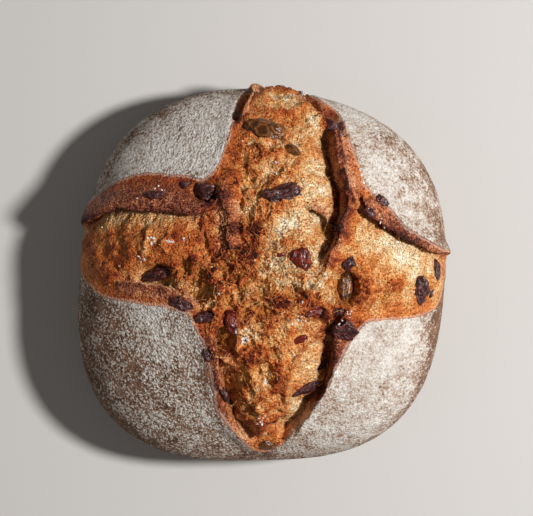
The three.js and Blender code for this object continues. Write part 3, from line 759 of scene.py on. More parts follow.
# %% How thick the flour lies
# direction, distance from the middle, half sizes round and out, and thickness of the flour
# the coat of 1 on the upper left is partly painted light: it reaches the palest shade, which stands in for
# light on the side turned away from the lamp
FLOURED = [
    (40, 80, 40, 38, 0.74), (68, 120, 14, 26, 0.80), (35, 128, 20, 13, 0.55), (16, 122, 12, 20, 0.50),
    (-35, 80, 24, 34, 0.80), (-62, 108, 20, 30, 0.74), (-16, 134, 14, 15, 0.10), (-38, 137, 14, 9, 0.28),
    (-62, 139, 14, 9, 0.40), (135, 80, 40, 45, 1.0), (150, 130, 30, 16, 0.72), (115, 130, 20, 16, 0.74),
    (208, 62, 18, 16, 0.92), (222, 95, 14, 24, 0.73), (203, 118, 14, 20, 0.56), (190, 134, 16, 10, 0.60),
    (232, 134, 20, 14, 0.56), (252, 108, 12, 26, 0.76), (268, 134, 14, 12, 0.50),
]
FLOUR_ELSEWHERE = 0.5
SIDE_LOSES = 0.6  # share of the flour that is missing low on the side
SIDE_FROM, SIDE_OVER = 6, 30  # millimetres down from the rim
FLOUR_UNEVEN, FLOUR_UNEVEN_WIDTH = 0.12, 14


def dust(u, v, flat):
    spots = []
    for direction, distance, round_about, outward, value in FLOURED:
        turn = math.radians(direction)
        at_u, at_v = distance * math.cos(turn), distance * math.sin(turn)
        spots.append((at_u, at_v, outward, distance * math.radians(round_about), turn, value))
    flour = blend_patches(u, v, spots, FLOUR_ELSEWHERE)
    down = smooth((np.hypot(u, v) - TO_RIM - SIDE_FROM) / SIDE_OVER)
    return flour * (1 - SIDE_LOSES * down) + FLOUR_UNEVEN * rough(flat, FLOUR_UNEVEN_WIDTH, 3, seed=24)


# %% Store the fields on the mesh
LOAF_FIELDS = ("cut", "baked", "skin", "flour", "deep", "ragged", "glassy")
PIT_GLASSY = 0.45
CLUMPED_MIDDLE, CLUMPED_LEFT = 0.5, 0.8


def store(mesh, name, values):
    field = mesh.attributes.new(name, "FLOAT", "POINT")
    field.data.foreach_set("value", np.asarray(values, np.float32))


u, v = fields["u"], fields["v"]
fields["baked"] = np.clip(bake(u, v, fields), 0, 1)
fields["flour"] = np.clip(dust(u, v, fields["flat"]), 0, 1)
fields["deep"] = np.clip(fields["crack"] ** 2, 0, 1)
pit = np.clip(-fields["crest"] - CREST_MIDDLE, 0, 2) * fields["ragged"]
fields["glassy"] = np.clip(fields["hollow"] + PIT_GLASSY * pit, 0, 1) * (fields["cut"] > 0)
# outside the cut, how ragged the surface is says how clumped its flour is: more so on the left half,
# which is turned away from the lamp, where the gaps between the grains are also painted darker, partly
# painted shade
clumped = smooth(CLUMPED_MIDDLE - CLUMPED_LEFT * u / np.maximum(np.hypot(u, v), 1))
fields["ragged"] = np.where(fields["cut"] > 0, fields["ragged"], clumped)
for name in LOAF_FIELDS:
    store(loaf.data, name, fields[name])
print("fields stored:", LOAF_FIELDS)

# %% [markdown]
# ## A shorthand for materials
# Colours are written as sRGB hex values, as a colour picker shows them, and turned to linear light
# once. `add` makes a node of any kind, so each material reads as a list of what it is made of. A dot
# after the kind gives its operation, plain values fill the node's sockets in order, names in small
# letters are settings of the node, and names with a capital are sockets.

# %% Colour and node helpers
SOFT = {"interpolation_type": "SMOOTHSTEP"}
BLEND = {"data_type": "RGBA", "out": 2}


def colour(hex_value):
    """An sRGB hex value as linear light, by the sRGB standard's own curve."""
    channels = [int(hex_value[i : i + 2], 16) / 255 for i in (1, 3, 5)]
    return (*[c / 12.92 if c <= 0.04045 else ((c + 0.055) / 1.055) ** 2.4 for c in channels], 1.0)


def add_node(tree, kind, *values, out=0, shades=(), **named):
    """Adds a node, sets and links what is given, and gives back its output socket `out`."""
    kind, _, operation = kind.partition(".")
    made = tree.nodes.new("ShaderNode" + kind)
    if operation:
        made.operation = operation
    for name in [n for n in named if n[0].islower()]:
        setattr(made, name, named.pop(name))
    sockets = [s for s in made.inputs if s.enabled]
    chosen = list(zip(sockets, values))
    for name, value in named.items():
        chosen.append((next(s for s in sockets if s.name == name.replace("_", " ")), value))
    for socket, value in chosen:
        if isinstance(value, bpy.types.NodeSocket):
            tree.links.new(value, socket)
        else:
            socket.default_value = colour(value) if isinstance(value, str) else value
    for i, (place, shade) in enumerate(shades):
        element = made.color_ramp.elements[i] if i < 2 else made.color_ramp.elements.new(place)
        element.position, element.color = place, colour(shade)
    return made.outputs[out] if made.outputs else made


def new_material(name):
    """An empty material, and an `add` that adds nodes to it."""
    material = bpy.data.materials.new(name)
    material.use_nodes = True
    material.node_tree.nodes.clear()
    return material, partial(add_node, material.node_tree)


def per(millimetres):
    """The scale at which a noise has bumps of this width."""
    return 0.5 / (millimetres * MM)


# %% [markdown]
# ## Marks in the crumb
# Bread browns where its surface dries: the Maillard reaction turns starch and protein golden, then
# orange, then brown. Crumb is matt and lets a little light in. Up close it is a felt of threads with
# pores and pinholes between them. Its real pores are half a millimetre, and are drawn a little coarser,
# so that they still show when the whole loaf is in view. Besides their relief, the pores and pinholes
# are painted darker, a painted shade, and the threads lighter, a painted highlight.

# %% Pores, threads and pinholes
# width in millimetres, detail, roughness and distortion
PORES = (0.52, 1.0, 0.6, 0.0)
MOTTLE = (2.4, 2.0, 0.6, 0.8)
FELT = (1.5, 1.0, 0.5, 1.0)
THREAD_WIDTHS = (0.07, 0.08)  # as a share of the mottle's and the felt's noise
HOLE_SPACING = 2.6
HOLE_EDGE = (0.08, 0.24)
HOLE_WARP = 0.7
# painted light: pores are painted darker, a painted shade, and threads lighter, a painted highlight, kept
# between the limits below
PORE_LIGHT, EVEN_LIGHT, THREAD_LIGHT = -1.9, -0.05, 0.36
DARKEST, BRIGHTEST = -0.4, 0.7
# a painted highlight makes a thread that stands up paler as well as brighter, and painted shade makes a pit
# more orange as well as darker
PAINTED_GLINT = (1.0, 1.5, 2.2)


def crumb_marks(add, place):
    """Pores and mottle from about -0.5 to 0.5, and hairs, threads and pinholes from 0 to 1."""
    noises = []
    for width, detail, grit, warp in (PORES, MOTTLE, FELT):
        raw = add("TexNoise", place, Scale=per(width), Detail=detail, Roughness=grit, Distortion=warp)
        noises.append(add("Math.SUBTRACT", raw, 0.5))
    pores, mottle, felt = noises
    lines = []
    for value, width in zip((mottle, felt), THREAD_WIDTHS):
        lines.append(add("MapRange", add("Math.ABSOLUTE", value), 0.0, width, 1.0, 0.0, **SOFT))
    hole = add("TexVoronoi", place, Scale=1 / (HOLE_SPACING * MM), out="Distance")
    hole = add("Math.MULTIPLY_ADD", mottle, HOLE_WARP, hole)
    hole = add("MapRange", hole, *HOLE_EDGE, 1.0, 0.0, **SOFT)
    return pores, mottle, lines[1], add("Math.MAXIMUM", *lines), hole


def crumb_painted_light(add, pores, threads):
    """Painted light for the crumb, which its colour is multiplied by, and the painted shade of its pits."""
    light = add("Math.MULTIPLY_ADD", pores, PORE_LIGHT, EVEN_LIGHT)
    light = add("Math.MULTIPLY_ADD", threads, THREAD_LIGHT, light)
    painted_pit_shade = add("Math.MAXIMUM", add("Math.MULTIPLY", light, -1.0), 0.0)
    light = add("Math.MINIMUM", add("Math.MAXIMUM", light, DARKEST), BRIGHTEST)
    return add("VectorMath.MULTIPLY_ADD", light, PAINTED_GLINT, (1.0, 1.0, 1.0)), painted_pit_shade


# %% [markdown]
# ## Crumb and skin
# The tone at a place is how far it is baked, shifted by each mark. Deep in a crack the crumb stayed
# moist and pale, and burst bubbles are lined with starch that set to a clear golden film. Dough that
# stretched without tearing has a skin, which is smoother and redder.

# %% Shades of crumb and skin
# from moist pale crumb over golden and rust to almost black
CRUMB_SHADES = [
    (0.00, "#eddcb8"), (0.14, "#e3b783"), (0.30, "#d69558"), (0.42, "#cb773a"), (0.54, "#b85c25"),
    (0.68, "#8d3a16"), (0.83, "#591b0a"), (1.00, "#260903"),
]
SKIN_SHADES = [
    (0.00, "#e4b78f"), (0.30, "#cb8a60"), (0.52, "#a75f3c"),
    (0.70, "#7d3b24"), (0.86, "#4c1e14"), (1.00, "#240b07"),
]
MOIST_CRUMB, MOIST_SHARE = "#deb984", 0.5
MOIST_UNTIL = (0.75, 0.35)  # how dark it may be baked and still look moist
GLASSY_CRUMB, GLASSY_SHARE = "#c8823a", 0.55
# how much darker mottle, pits and pinholes make the crumb, and with pores and hairs the skin: the pits,
# pinholes and pores are painted shade, the hairs, made lighter, a painted highlight, and the mottle is
# the crumb's own uneven colour
CRUMB_DARKER = (0.25, 0.15, 0.28)
# pores make the crumb's tone darker as well, a painted shade in them
CRUMB_PORES = 0.12
SKIN_DARKER = (0.5, 0.5, -0.15, 0.2, 0.25)


def toned(add, tone, marks, weights):
    """The tone with every mark's share added, kept between 0 and 1 at the end."""
    for i, (mark, weight) in enumerate(zip(marks, weights), 1):
        tone = add("Math.MULTIPLY_ADD", mark, weight, tone, use_clamp=i == len(weights))
    return tone


def crumb_and_skin(add, marks, painted_pit_shade, uneven, fields):
    """Colour inside the cut."""
    pores, mottle, hair, _, hole = marks
    crumb_pores = add("Math.MULTIPLY", uneven, CRUMB_PORES)
    tone = add("Math.MULTIPLY_ADD", pores, crumb_pores, fields["baked"])
    crumb = add("ValToRGB", toned(add, tone, (mottle, painted_pit_shade, hole), CRUMB_DARKER), shades=CRUMB_SHADES)
    pale = add("MapRange", fields["baked"], *MOIST_UNTIL, **SOFT)
    moist = add("Math.MULTIPLY", add("Math.MULTIPLY", fields["deep"], pale), MOIST_SHARE)
    crumb = add("Mix", moist, crumb, MOIST_CRUMB, **BLEND)
    film = add("Math.MULTIPLY", fields["glassy"], GLASSY_SHARE)
    crumb = add("Mix", film, crumb, GLASSY_CRUMB, **BLEND)
    skin_tone = toned(add, fields["baked"], (pores, mottle, hair, painted_pit_shade, hole), SKIN_DARKER)
    stretched = add("ValToRGB", skin_tone, shades=SKIN_SHADES)
    return add("Mix", fields["skin"], crumb, stretched, **BLEND)


# %% [markdown]
# ## Flour on the crust
# Flour is a matt white powder in grains too fine to see. It clumps to specks of about a millimetre
# where the basket's cloth pressed it on, and it drifts and wears off in larger patches. The grains are
# drawn as coarse as those specks, so that they show. Where the coat is thin, the grains break it up
# most and the brown crust shows between them.

# %% Crust under flour
CRUST_SHADES = [(0.3, "#4f392b"), (0.5, "#7f5d47"), (0.7, "#a98064")]
# from bare crust over a thin film of flour to a thick coat; the palest shade, at a coat of 1, is partly
# painted light, for the thick flour on the upper left that is turned away from the lamp
FLOUR_SHADES = [
    (0.0, "#80604c"), (0.2, "#9e7d68"), (0.42, "#bca897"),
    (0.7, "#d9cfc5"), (0.85, "#e4dbd1"), (1.0, "#f5ece2"),
]
CRUST_SPOTS = 4.0
GRAIN_SPACING = 1.45
GRAIN_JOLT = 1.1
SPECK, SPECK_TOP, SPECK_SHARE = 0.9, 0.78, 1.1
# width in millimetres, detail, roughness and how strongly it thins and heaps the flour
DRIFT = (2.6, 4.0, 0.65, 2.0)
WORN = (7, 6.0, 0.7, 3.5)
GRAIN_MIDDLE = 0.56
# where the flour is clumped, more crust shows between the grains: partly bare crust, partly painted shade
# on the left half, turned away from the lamp
# a value where the flour is smooth, and what is added to it where the flour is clumped
BREAKS_BELOW = (1.16, 0.14)
CLUMPS = (2.6, 2.0)


def flour_grain(add, place):
    jolt = add("TexNoise", place, Scale=per(GRAIN_JOLT), out="Color")
    jolt = add("VectorMath.MULTIPLY_ADD", jolt, (MM, MM, MM), place)
    scale = 1 / (GRAIN_SPACING * MM)
    grain = add("TexVoronoi", jolt, Scale=scale, Detail=1.0, Roughness=0.6, out="Distance")
    speck = add("TexNoise", place, Scale=per(SPECK), Detail=3.0, Roughness=0.7)
    speck = add("Math.MULTIPLY", add("Math.SUBTRACT", SPECK_TOP, speck), SPECK_SHARE)
    return add("Math.MULTIPLY_ADD", grain, 0.5, speck)


def floured_crust(add, place, grain, fields):
    """Colour outside the cut, and the drifts of the flour."""
    spots = add("TexNoise", place, Scale=per(CRUST_SPOTS), Detail=5.0, Roughness=0.7)
    browned = add("ValToRGB", spots, shades=CRUST_SHADES)
    clumped, cover = fields["ragged"], fields["flour"]
    clumps = add("Math.MULTIPLY_ADD", clumped, CLUMPS[1], CLUMPS[0])
    uneven = add("Math.MULTIPLY", add("Math.SUBTRACT", GRAIN_MIDDLE, grain), clumps)
    drifts = []
    for width, detail, grit, strength in (DRIFT, WORN):
        drifts.append(add("TexNoise", place, Scale=per(width), Detail=detail, Roughness=grit))
        uneven = add("Math.MULTIPLY_ADD", add("Math.SUBTRACT", drifts[-1], 0.5), strength, uneven)
    thin = add("Math.MULTIPLY_ADD", clumped, BREAKS_BELOW[1], BREAKS_BELOW[0])
    thin = add("Math.SUBTRACT", thin, cover)
    thick = add("Math.MULTIPLY_ADD", uneven, thin, cover, use_clamp=True)
    powder = add("ValToRGB", thick, shades=FLOUR_SHADES)
    dusted = add("MapRange", thick, 0.0, 0.12, **SOFT)
    return add("Mix", dusted, browned, powder, **BLEND), drifts[0]


# %% [markdown]
# ## Bread, put together
# One material holds crumb, skin and floured crust, because on the real loaf they grade into each other
# on one surface. A pale line borders the cut, where the blade left the floured skin's edge bare. The
# same marks that colour the bread are its fine relief, so that every grain and pore also catches the
# light.

# %% The bread material
BORDER_LINE, BORDER_SHARE = "#e8c9b4", 0.5
BORDER_WAVES = 1.6  # millimetres that the pores move the border by
BORDER_BLUR = 0.35
BORDER_WIDTHS = (0.9, 1.7)
UNEVEN = (0.8, 0.5)  # of the pores, where the crumb is smooth, and what is added where it is ragged
PORE_RELIEF, THREAD_RELIEF, HOLE_RELIEF = -1.5, 0.35, -0.4
GRAIN_RELIEF = -1.3
HEAPS = (1.6, 1.0)
FLOUR_RISE = (0.7, 0.9)
FLOUR_GLOSS, CRUMB_GLOSS, SKIN_GLOSS, GLASSY_GLOSS = 0.92, 0.6, -0.12, -0.25


def border(add, pores, cut):
    """How far inside the cut a place is, from 0 to 1, and the pale line round it."""
    edge = add("Math.MULTIPLY_ADD", pores, BORDER_WAVES, cut)
    in_cut = add("MapRange", edge, -BORDER_BLUR, BORDER_BLUR, **SOFT)
    line = add("MapRange", edge, 0.0, BORDER_WIDTHS[0], **SOFT)
    return in_cut, add("Math.MULTIPLY", line, add("MapRange", edge, *BORDER_WIDTHS, 1.0, 0.0))


def bread_relief(add, marks, uneven, grain, drift, in_cut, clumped):
    pores, _, _, threads, hole = marks
    inner = add("Math.MULTIPLY", pores, add("Math.MULTIPLY", uneven, PORE_RELIEF))
    inner = add("Math.MULTIPLY_ADD", threads, THREAD_RELIEF, inner)
    inner = add("Math.MULTIPLY_ADD", hole, HOLE_RELIEF, inner)
    heap = add("Math.MULTIPLY_ADD", clumped, HEAPS[1], HEAPS[0])
    outer = add("Math.MULTIPLY_ADD", drift, heap, add("Math.MULTIPLY", grain, GRAIN_RELIEF))
    outer = add("Math.MULTIPLY", outer, add("Math.MULTIPLY_ADD", clumped, FLOUR_RISE[1], FLOUR_RISE[0]))
    height = add("Math.MULTIPLY_ADD", in_cut, add("Math.SUBTRACT", inner, outer), outer)
    return add("Bump", Strength=1.0, Distance=MM, Height=height)


def make_bread():
    bread, add = new_material("sourdough_crust_and_crumb")
    place = add("TexCoord", out="Object")
    fields = {name: add("Attribute", attribute_name=name, out="Fac") for name in LOAF_FIELDS}
    marks = crumb_marks(add, place)
    light, painted_pit_shade = crumb_painted_light(add, marks[0], marks[3])
    uneven = add("Math.MULTIPLY_ADD", fields["ragged"], UNEVEN[1], UNEVEN[0])
    inner = crumb_and_skin(add, marks, painted_pit_shade, uneven, fields)
    # crumb and skin are multiplied by the painted light: painted shade in the pores, painted highlights on
    # the threads
    inner = add("Mix", 1.0, inner, light, blend_type="MULTIPLY", **BLEND)
    grain = flour_grain(add, place)
    outer, drift = floured_crust(add, place, grain, fields)
    in_cut, line = border(add, marks[0], fields["cut"])
    base = add("Mix", in_cut, outer, inner, **BLEND)
    base = add("Mix", add("Math.MULTIPLY", line, BORDER_SHARE), base, BORDER_LINE, **BLEND)
    normal = bread_relief(add, marks, uneven, grain, drift, in_cut, fields["ragged"])
    gloss = add("Math.MULTIPLY_ADD", fields["skin"], SKIN_GLOSS, CRUMB_GLOSS)
    gloss = add("Math.MULTIPLY_ADD", fields["glassy"], GLASSY_GLOSS, gloss)
    gloss = add("Math.MULTIPLY_ADD", in_cut, add("Math.SUBTRACT", gloss, FLOUR_GLOSS), FLOUR_GLOSS)
    shader = add(
        "BsdfPrincipled", base, Roughness=gloss, IOR=1.45, Normal=normal, Specular_IOR_Level=0.28,
        Subsurface_Weight=0.04, Subsurface_Scale=0.0012, Subsurface_Radius=(1.0, 0.55, 0.3),
    )
    add("OutputMaterial", shader)
    return bread


bread = make_bread()
loaf.data.materials.append(bread)
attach(loaf, "root")
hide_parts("loaf")
print("bread nodes:", len(bread.node_tree.nodes))

# %% [markdown]
# ## Dried fruit
# A dried grape is a bag of skin round a shrunken inside. It falls into flat facets first, and folds
# into wrinkles along its length. Each fruit starts as a ball of squares: it is cut down to a rounded
# crystal by a few planes, folded by ridged noise and stretched to its solid's half sizes.

# %% Model the fruit
FRUIT_CUTS = {"large": 31, "small": 17}
FACETS = 8
BLUNT = 0.7  # below 1 it widens the ends
FACET_SHARP = 18  # the higher, the sharper the edges between facets
FINE_FROM = 6  # half length of a fruit, from which it gets the fine mesh
FOLD_MIDDLE, CREASE, CREASE_MIDDLE = 0.7, 0.06, 0.5
FOLD_THIN, CREASE_THIN = 3.0, 3.5  # the higher, the thinner the line
LOBES_ACROSS, CREASES_ACROSS = 1.3, 4.5
FRUIT_JOLT, JOLTS_ACROSS = 0.25, 2
# the fold value paints the wrinkles: lighter on their ridges, a painted sheen, and darker in the hollows
# between them, a painted shade
FOLD_SHARE, CREASE_SHARE = 0.7, 0.3  # of the darkness in the folds
# how near the nearest facet comes, depth of lobes and of wrinkles, and their number along and across
Skin = namedtuple("Skin", "near lobes depth along across")
WRINKLES = {
    "sultana": Skin(0.85, 0.10, 0.11, 3.0, 1.2),
    "raisin": Skin(0.5, 0.2, 0.16, 1.8, 2.2),
    "cranberry": Skin(0.6, 0.2, 0.12, 1.4, 1.6),
}


def noise_moves(points):
    return np.array([noise.noise_vector(p) for p in points.tolist()])


def fold_lines(points, thin):
    """From 0 to 1, highest along the lines where a noise is zero."""
    return 1 - np.minimum(np.abs([noise.noise(p) for p in points.tolist()]) * thin, 1)


def make_fruit(fruit, number):
    kind = fruit.node.split("_")[0]
    draw = np.random.default_rng(100 + number)
    piece = add_ball(fruit.node + "_skin", FRUIT_CUTS["large" if fruit.half[0] > FINE_FROM else "small"])
    ball = places_of(piece.data)
    ball[:, 0] = np.sign(ball[:, 0]) * np.abs(ball[:, 0]) ** BLUNT
    planes = draw.normal(size=(FACETS, 3))
    planes /= np.linalg.norm(planes, axis=1, keepdims=True)
    look = WRINKLES[kind]
    reach = draw.uniform(look.near, 1, FACETS)
    facing = np.maximum(ball @ planes.T, 0) / reach
    crystal = 1 / ((facing**FACET_SHARP).sum(axis=1) + 1) ** (1 / FACET_SHARP)
    lobed = ball * crystal[:, None] + look.lobes * noise_moves(ball * LOBES_ACROSS + 3.7 * number)
    moved = ball + FRUIT_JOLT * noise_moves(ball * JOLTS_ACROSS + number)
    fold = fold_lines(moved * (look.along, look.across, look.across) + 11.3 * number, FOLD_THIN)
    crease = fold_lines(moved * CREASES_ACROSS + number, CREASE_THIN)
    lobed *= (1 + look.depth * (fold - FOLD_MIDDLE) + CREASE * (crease - CREASE_MIDDLE))[:, None]
    lobed -= (lobed.max(axis=0) + lobed.min(axis=0)) / 2
    points = fruit.middle + (lobed / lobed.max(axis=0) * fruit.half) @ fruit.axes
    put(piece.data, points * MM)
    # stored for the painted sheen on the ridges and the painted shade in the hollows
    store(piece.data, "fold", FOLD_SHARE * fold + CREASE_SHARE * crease)
    shade_smooth(piece)
    return piece, kind


# %% [markdown]
# ## Fruit skins
# The three skins share one recipe: a thin translucent coat over flesh, with a bloom of fine flour here
# and there. The ridges of its folds are painted lighter, a painted sheen, and the hollows between them
# darker, a painted shade. Only the colours, the gloss and how far light enters differ.

# %% The fruit materials
Look = namedtuple("Look", "shades roughness light bloom")
FRUIT_LOOKS = {
    "sultana": Look([(0.15, "#231006"), (0.5, "#5e3410"), (0.9, "#a8682a")], 0.18, 0.15, 0.06),
    "raisin": Look([(0.2, "#140506"), (0.5, "#401715"), (0.9, "#804540")], 0.28, 0.06, 0.12),
    "cranberry": Look([(0.15, "#240706"), (0.5, "#66180c"), (0.9, "#a03c20")], 0.22, 0.15, 0.1),
}
BLOOM = "#a3908a"
CLOUDS, BLOOM_GRAIN = 1.8, 0.7  # widths in millimetres; the real bloom is a powder, and is drawn coarser
BLOOM_EDGE = (0.52, 0.68)
BLOOM_HEIGHT = 0.5


def make_skin(kind, look):
    skin_material, add = new_material(kind + "_skin")
    place = add("TexCoord", out="Object")
    fold = add("Attribute", attribute_name="fold", out="Fac")
    cloudy = add("TexNoise", place, Scale=per(CLOUDS), Detail=3.0)
    # folds give the painted sheen and painted shade; the cloud is the fruit's own uneven colour
    shade = add("Math.MULTIPLY_ADD", fold, 0.5, add("Math.MULTIPLY", cloudy, 0.6))
    body = add("ValToRGB", shade, shades=look.shades)
    dusty = add("TexNoise", place, Scale=per(BLOOM_GRAIN), Detail=3.0, Roughness=0.7)
    bloom = add("MapRange", dusty, *BLOOM_EDGE, 0.0, look.bloom, **SOFT)
    base = add("Mix", bloom, body, BLOOM, **BLEND)
    normal = add("Bump", Strength=0.9, Distance=BLOOM_HEIGHT * MM, Height=dusty)
    gloss = add("Math.MULTIPLY_ADD", bloom, 0.6, look.roughness, use_clamp=True)
    shader = add(
        "BsdfPrincipled", base, Roughness=gloss, IOR=1.46, Normal=normal, Coat_Weight=0.2,
        Coat_Roughness=0.2, Subsurface_Weight=look.light, Subsurface_Scale=0.003,
    )
    add("OutputMaterial", shader)
    return skin_material


# %% Put the fruit in place
FAR = 1000  # millimetres added to a distance, so that the place isn't chosen


class Bit:
    """A scrap of fruit that lies on the crumb."""

    def __init__(self, node, at, half, turn):
        too_low = points[:, 2] < RIM_HEIGHT
        spot = np.argmin(np.hypot(*(points[:, :2] - at).T) + FAR * too_low)
        self.node = node
        self.middle = points[spot]
        self.half = np.array(half)
        along = (math.cos(math.radians(turn)), math.sin(math.radians(turn)), 0)
        self.axes = np.array([along, np.cross((0, 0, 1), along), (0, 0, 1)])


bits = [
    Bit("cranberry_bit", (10.3, 11.0), (2.8, 1.8, 1.4), 10),
    Bit("raisin_bit", (97.5, -12.2), (3.6, 1.8, 1.4), 80),
]
fruit_skins = {kind: make_skin(kind, look) for kind, look in FRUIT_LOOKS.items()}
for number, fruit in enumerate(fruits + bits):
    piece, kind = make_fruit(fruit, number)
    piece.data.materials.append(fruit_skins[kind])
    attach(piece, "root")
    if fruit in fruits:
        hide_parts(fruit.node)
print("fruit made:", len(fruits), "and bits:", len(bits))

# %% [markdown]
# ## Crumbs, fibres and loose flour
# A torn crumb is never clean. Hundreds of tiny crumbs stick to it, fine fibres of dough still span its
# hollows, and flour fell on it in clumps. Each kind is one template shape, copied at many places into
# one joined mesh. The places are points of the loaf's own surface, drawn with a fixed seed.

# %% Copy a shape to many places
def template(kind, **settings):
    """The points and faces of a primitive, which is taken away again."""
    bpy.ops.object.select_all(action="DESELECT")
    getattr(bpy.ops.mesh, kind)(**settings)
    shape = bpy.context.object
    points, faces = places_of(shape.data), [tuple(p.vertices) for p in shape.data.polygons]
    bpy.ops.object.delete()
    return points, faces


def join_copies(name, copies, faces):
    """One mesh from many copies of a shape, given as an array of copies, points and coordinates."""
    count = copies.shape[1]
    joined = [tuple(i * count + corner for corner in face) for i in range(len(copies)) for face in faces]
    mesh = bpy.data.meshes.new(name)
    mesh.from_pydata((copies.reshape(-1, 3) * MM).tolist(), [], joined)
    piece = bpy.data.objects.new(name, mesh)
    bpy.context.collection.objects.link(piece)
    return piece


def turned(draw, count):
    """Random turns, as matrices."""
    matrices, _ = np.linalg.qr(draw.normal(size=(count, 3, 3)))
    return matrices * np.sign(np.linalg.det(matrices))[:, None, None]


loaf_normals = np.empty(len(points) * 3)
loaf.data.vertices.foreach_get("normal", loaf_normals)
loaf_normals = loaf_normals.reshape(-1, 3)
clear = (fields["cut"] > 2) & (fields["under"] == 0)


def finish_crumb(piece, material):
    piece.data.materials.append(material)
    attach(piece, "root")


# %% Crumbs
CRUMBS = 1500
CRUMB_SIZE = (0.25, 0.8)
CRUMB_UNEVEN = (0.6, 1.3)
CRUMB_RISE = 0.3  # of its size, that a crumb stands above the surface
CRUMB_BAKES = (0.02, 0.2)  # how much darker than its place a crumb is, and how much that varies

draw = np.random.default_rng(5)
ball_points, ball_faces = template("primitive_ico_sphere_add", subdivisions=1, radius=1)
weight = clear * (0.25 + fields["ragged"])
spots = draw.choice(len(points), CRUMBS, replace=False, p=weight / weight.sum())
size = draw.uniform(*CRUMB_SIZE, CRUMBS) * draw.uniform(0.5, 1, CRUMBS)
lumps = ball_points[None] * draw.uniform(*CRUMB_UNEVEN, (CRUMBS, len(ball_points), 1))
lumps = np.einsum("nij,nkj->nki", turned(draw, CRUMBS), lumps) * size[:, None, None]
copies = lumps + points[spots][:, None] + loaf_normals[spots][:, None] * CRUMB_RISE * size[:, None, None]
crumbs = join_copies("crumbs", copies, ball_faces)
crumb_fields = {name: fields[name][spots] for name in LOAF_FIELDS}
crumb_fields["baked"] = np.clip(crumb_fields["baked"] + draw.normal(*CRUMB_BAKES, CRUMBS), 0, 1)
for name in LOAF_FIELDS:
    store(crumbs.data, name, np.repeat(crumb_fields[name], len(ball_points)))
finish_crumb(crumbs, bread)
print("crumbs:", CRUMBS)

# %% Fibres
FIBRES = 480
FIBRE_SPAN = (3, 9)
FIBRE_THICK = (0.14, 0.25)
FIBRE_STEPS = 7
FIBRE_SIDES = 4
FIBRE_BEND = 0.25
FIBRE_LIFT = 0.6
FIBRE_DROP = 0.5  # how much lower its far end may be
FIBRE_PALE = 0.6  # how dark it is baked, as a share of the places it joins
FIBRE_ENDS = 7  # every seventh point of the loaf can be the far end of a fibre


def fibre(start, end, thick, draw):
    """A thin bent tube between two places, narrower towards both ends and closed by a flat face at each."""
    t = np.linspace(0, 1, FIBRE_STEPS)[:, None]
    bend = draw.normal(0, FIBRE_BEND, (FIBRE_STEPS, 3)) * np.sin(math.pi * t)
    middle = start * (1 - t) + end * t + bend
    middle[:, 2] += FIBRE_LIFT * np.sin(math.pi * t[:, 0])
    run = (end - start) / np.linalg.norm(end - start)
    side = np.cross(run, (0.3, 0.2, 1.0))
    side /= np.linalg.norm(side)
    other = np.cross(run, side)
    width = thick * (0.35 + 0.65 * np.sin(math.pi * np.linspace(0.06, 0.94, FIBRE_STEPS)))
    turn = np.arange(FIBRE_SIDES) * 2 * math.pi / FIBRE_SIDES
    ring = np.cos(turn)[:, None] * side + np.sin(turn)[:, None] * other
    return (middle[:, None] + width[:, None, None] * ring[None]).reshape(-1, 3)


last = (FIBRE_STEPS - 1) * FIBRE_SIDES
fibre_faces = []
for ring in range(0, last, FIBRE_SIDES):
    for j in range(FIBRE_SIDES):
        k = (j + 1) % FIBRE_SIDES
        fibre_faces.append((ring + j, ring + k, ring + FIBRE_SIDES + k, ring + FIBRE_SIDES + j))
fibre_faces.append(tuple(reversed(range(FIBRE_SIDES))))
fibre_faces.append(tuple(range(last, last + FIBRE_SIDES)))

draw = np.random.default_rng(6)
weight = clear * (0.06 + 0.6 * fields["hollow"] + 0.5 * fields["crack"] + 0.6 * fields["ragged"] ** 2)
starts = draw.choice(len(points), FIBRES, replace=False, p=weight / weight.sum())
copies, ends = [], []
far_ends = np.nonzero(clear)[0][::FIBRE_ENDS]
for start in starts:
    away = np.linalg.norm(points[far_ends] - points[start], axis=1)
    near = far_ends[(away > FIBRE_SPAN[0]) & (away < FIBRE_SPAN[1])]
    higher = near[points[near, 2] > points[start, 2] - FIBRE_DROP]
    ends.append(draw.choice(higher if len(higher) else near))
    copies.append(fibre(points[start], points[ends[-1]], draw.uniform(*FIBRE_THICK), draw))
fibres = join_copies("crumb_fibres", np.array(copies), fibre_faces)
share = np.repeat(np.linspace(0, 1, FIBRE_STEPS), FIBRE_SIDES)
for name in LOAF_FIELDS:
    blended = fields[name][starts][:, None] * (1 - share) + fields[name][ends][:, None] * share
    store(fibres.data, name, (blended * (FIBRE_PALE if name == "baked" else 1)).ravel())
shade_smooth(fibres)
finish_crumb(fibres, bread)
print("fibres:", FIBRES)

# %% Loose flour
# middle as seen from above, how far it is scattered, and how many clumps
SPILLS = [
    (-16, -33, 2.6, 70), (-10, -38, 2.8, 60), (24, 104, 6, 26), (15, 103, 5, 16), (1, -63, 3, 9),
    (-1, -82, 4, 12), (1, -92, 3, 8), (-62, 18, 4, 12), (-51, 18, 4, 12), (-44, 19, 2, 5), (-68, 9, 4, 9),
    (7, 62, 2.5, 7), (7, 57, 2, 6), (20, -27, 5, 10), (50, -22, 5, 12), (45, -30, 6, 14),
    (88, -11, 4, 10), (4, 73, 5, 6),
    (-60, 47, 14, 12), (60, 60, 8, 10), (70, 30, 10, 6), (0, 0, 90, 24),
]
CLUMP_SIZE = (0.4, 1.2)
CLUMP_UNEVEN = (0.45, 1.4)
CLUMP_FLAT = 0.5  # height of a clump, as a share of its width
CLUMP_SHADES = [(0.3, "#e2dcd6"), (0.7, "#f8f5f1")]
CLUMP_GRAIN, CLUMP_RELIEF = 0.4, 0.3  # millimetres; flour is finer, and is drawn as coarse as it shows

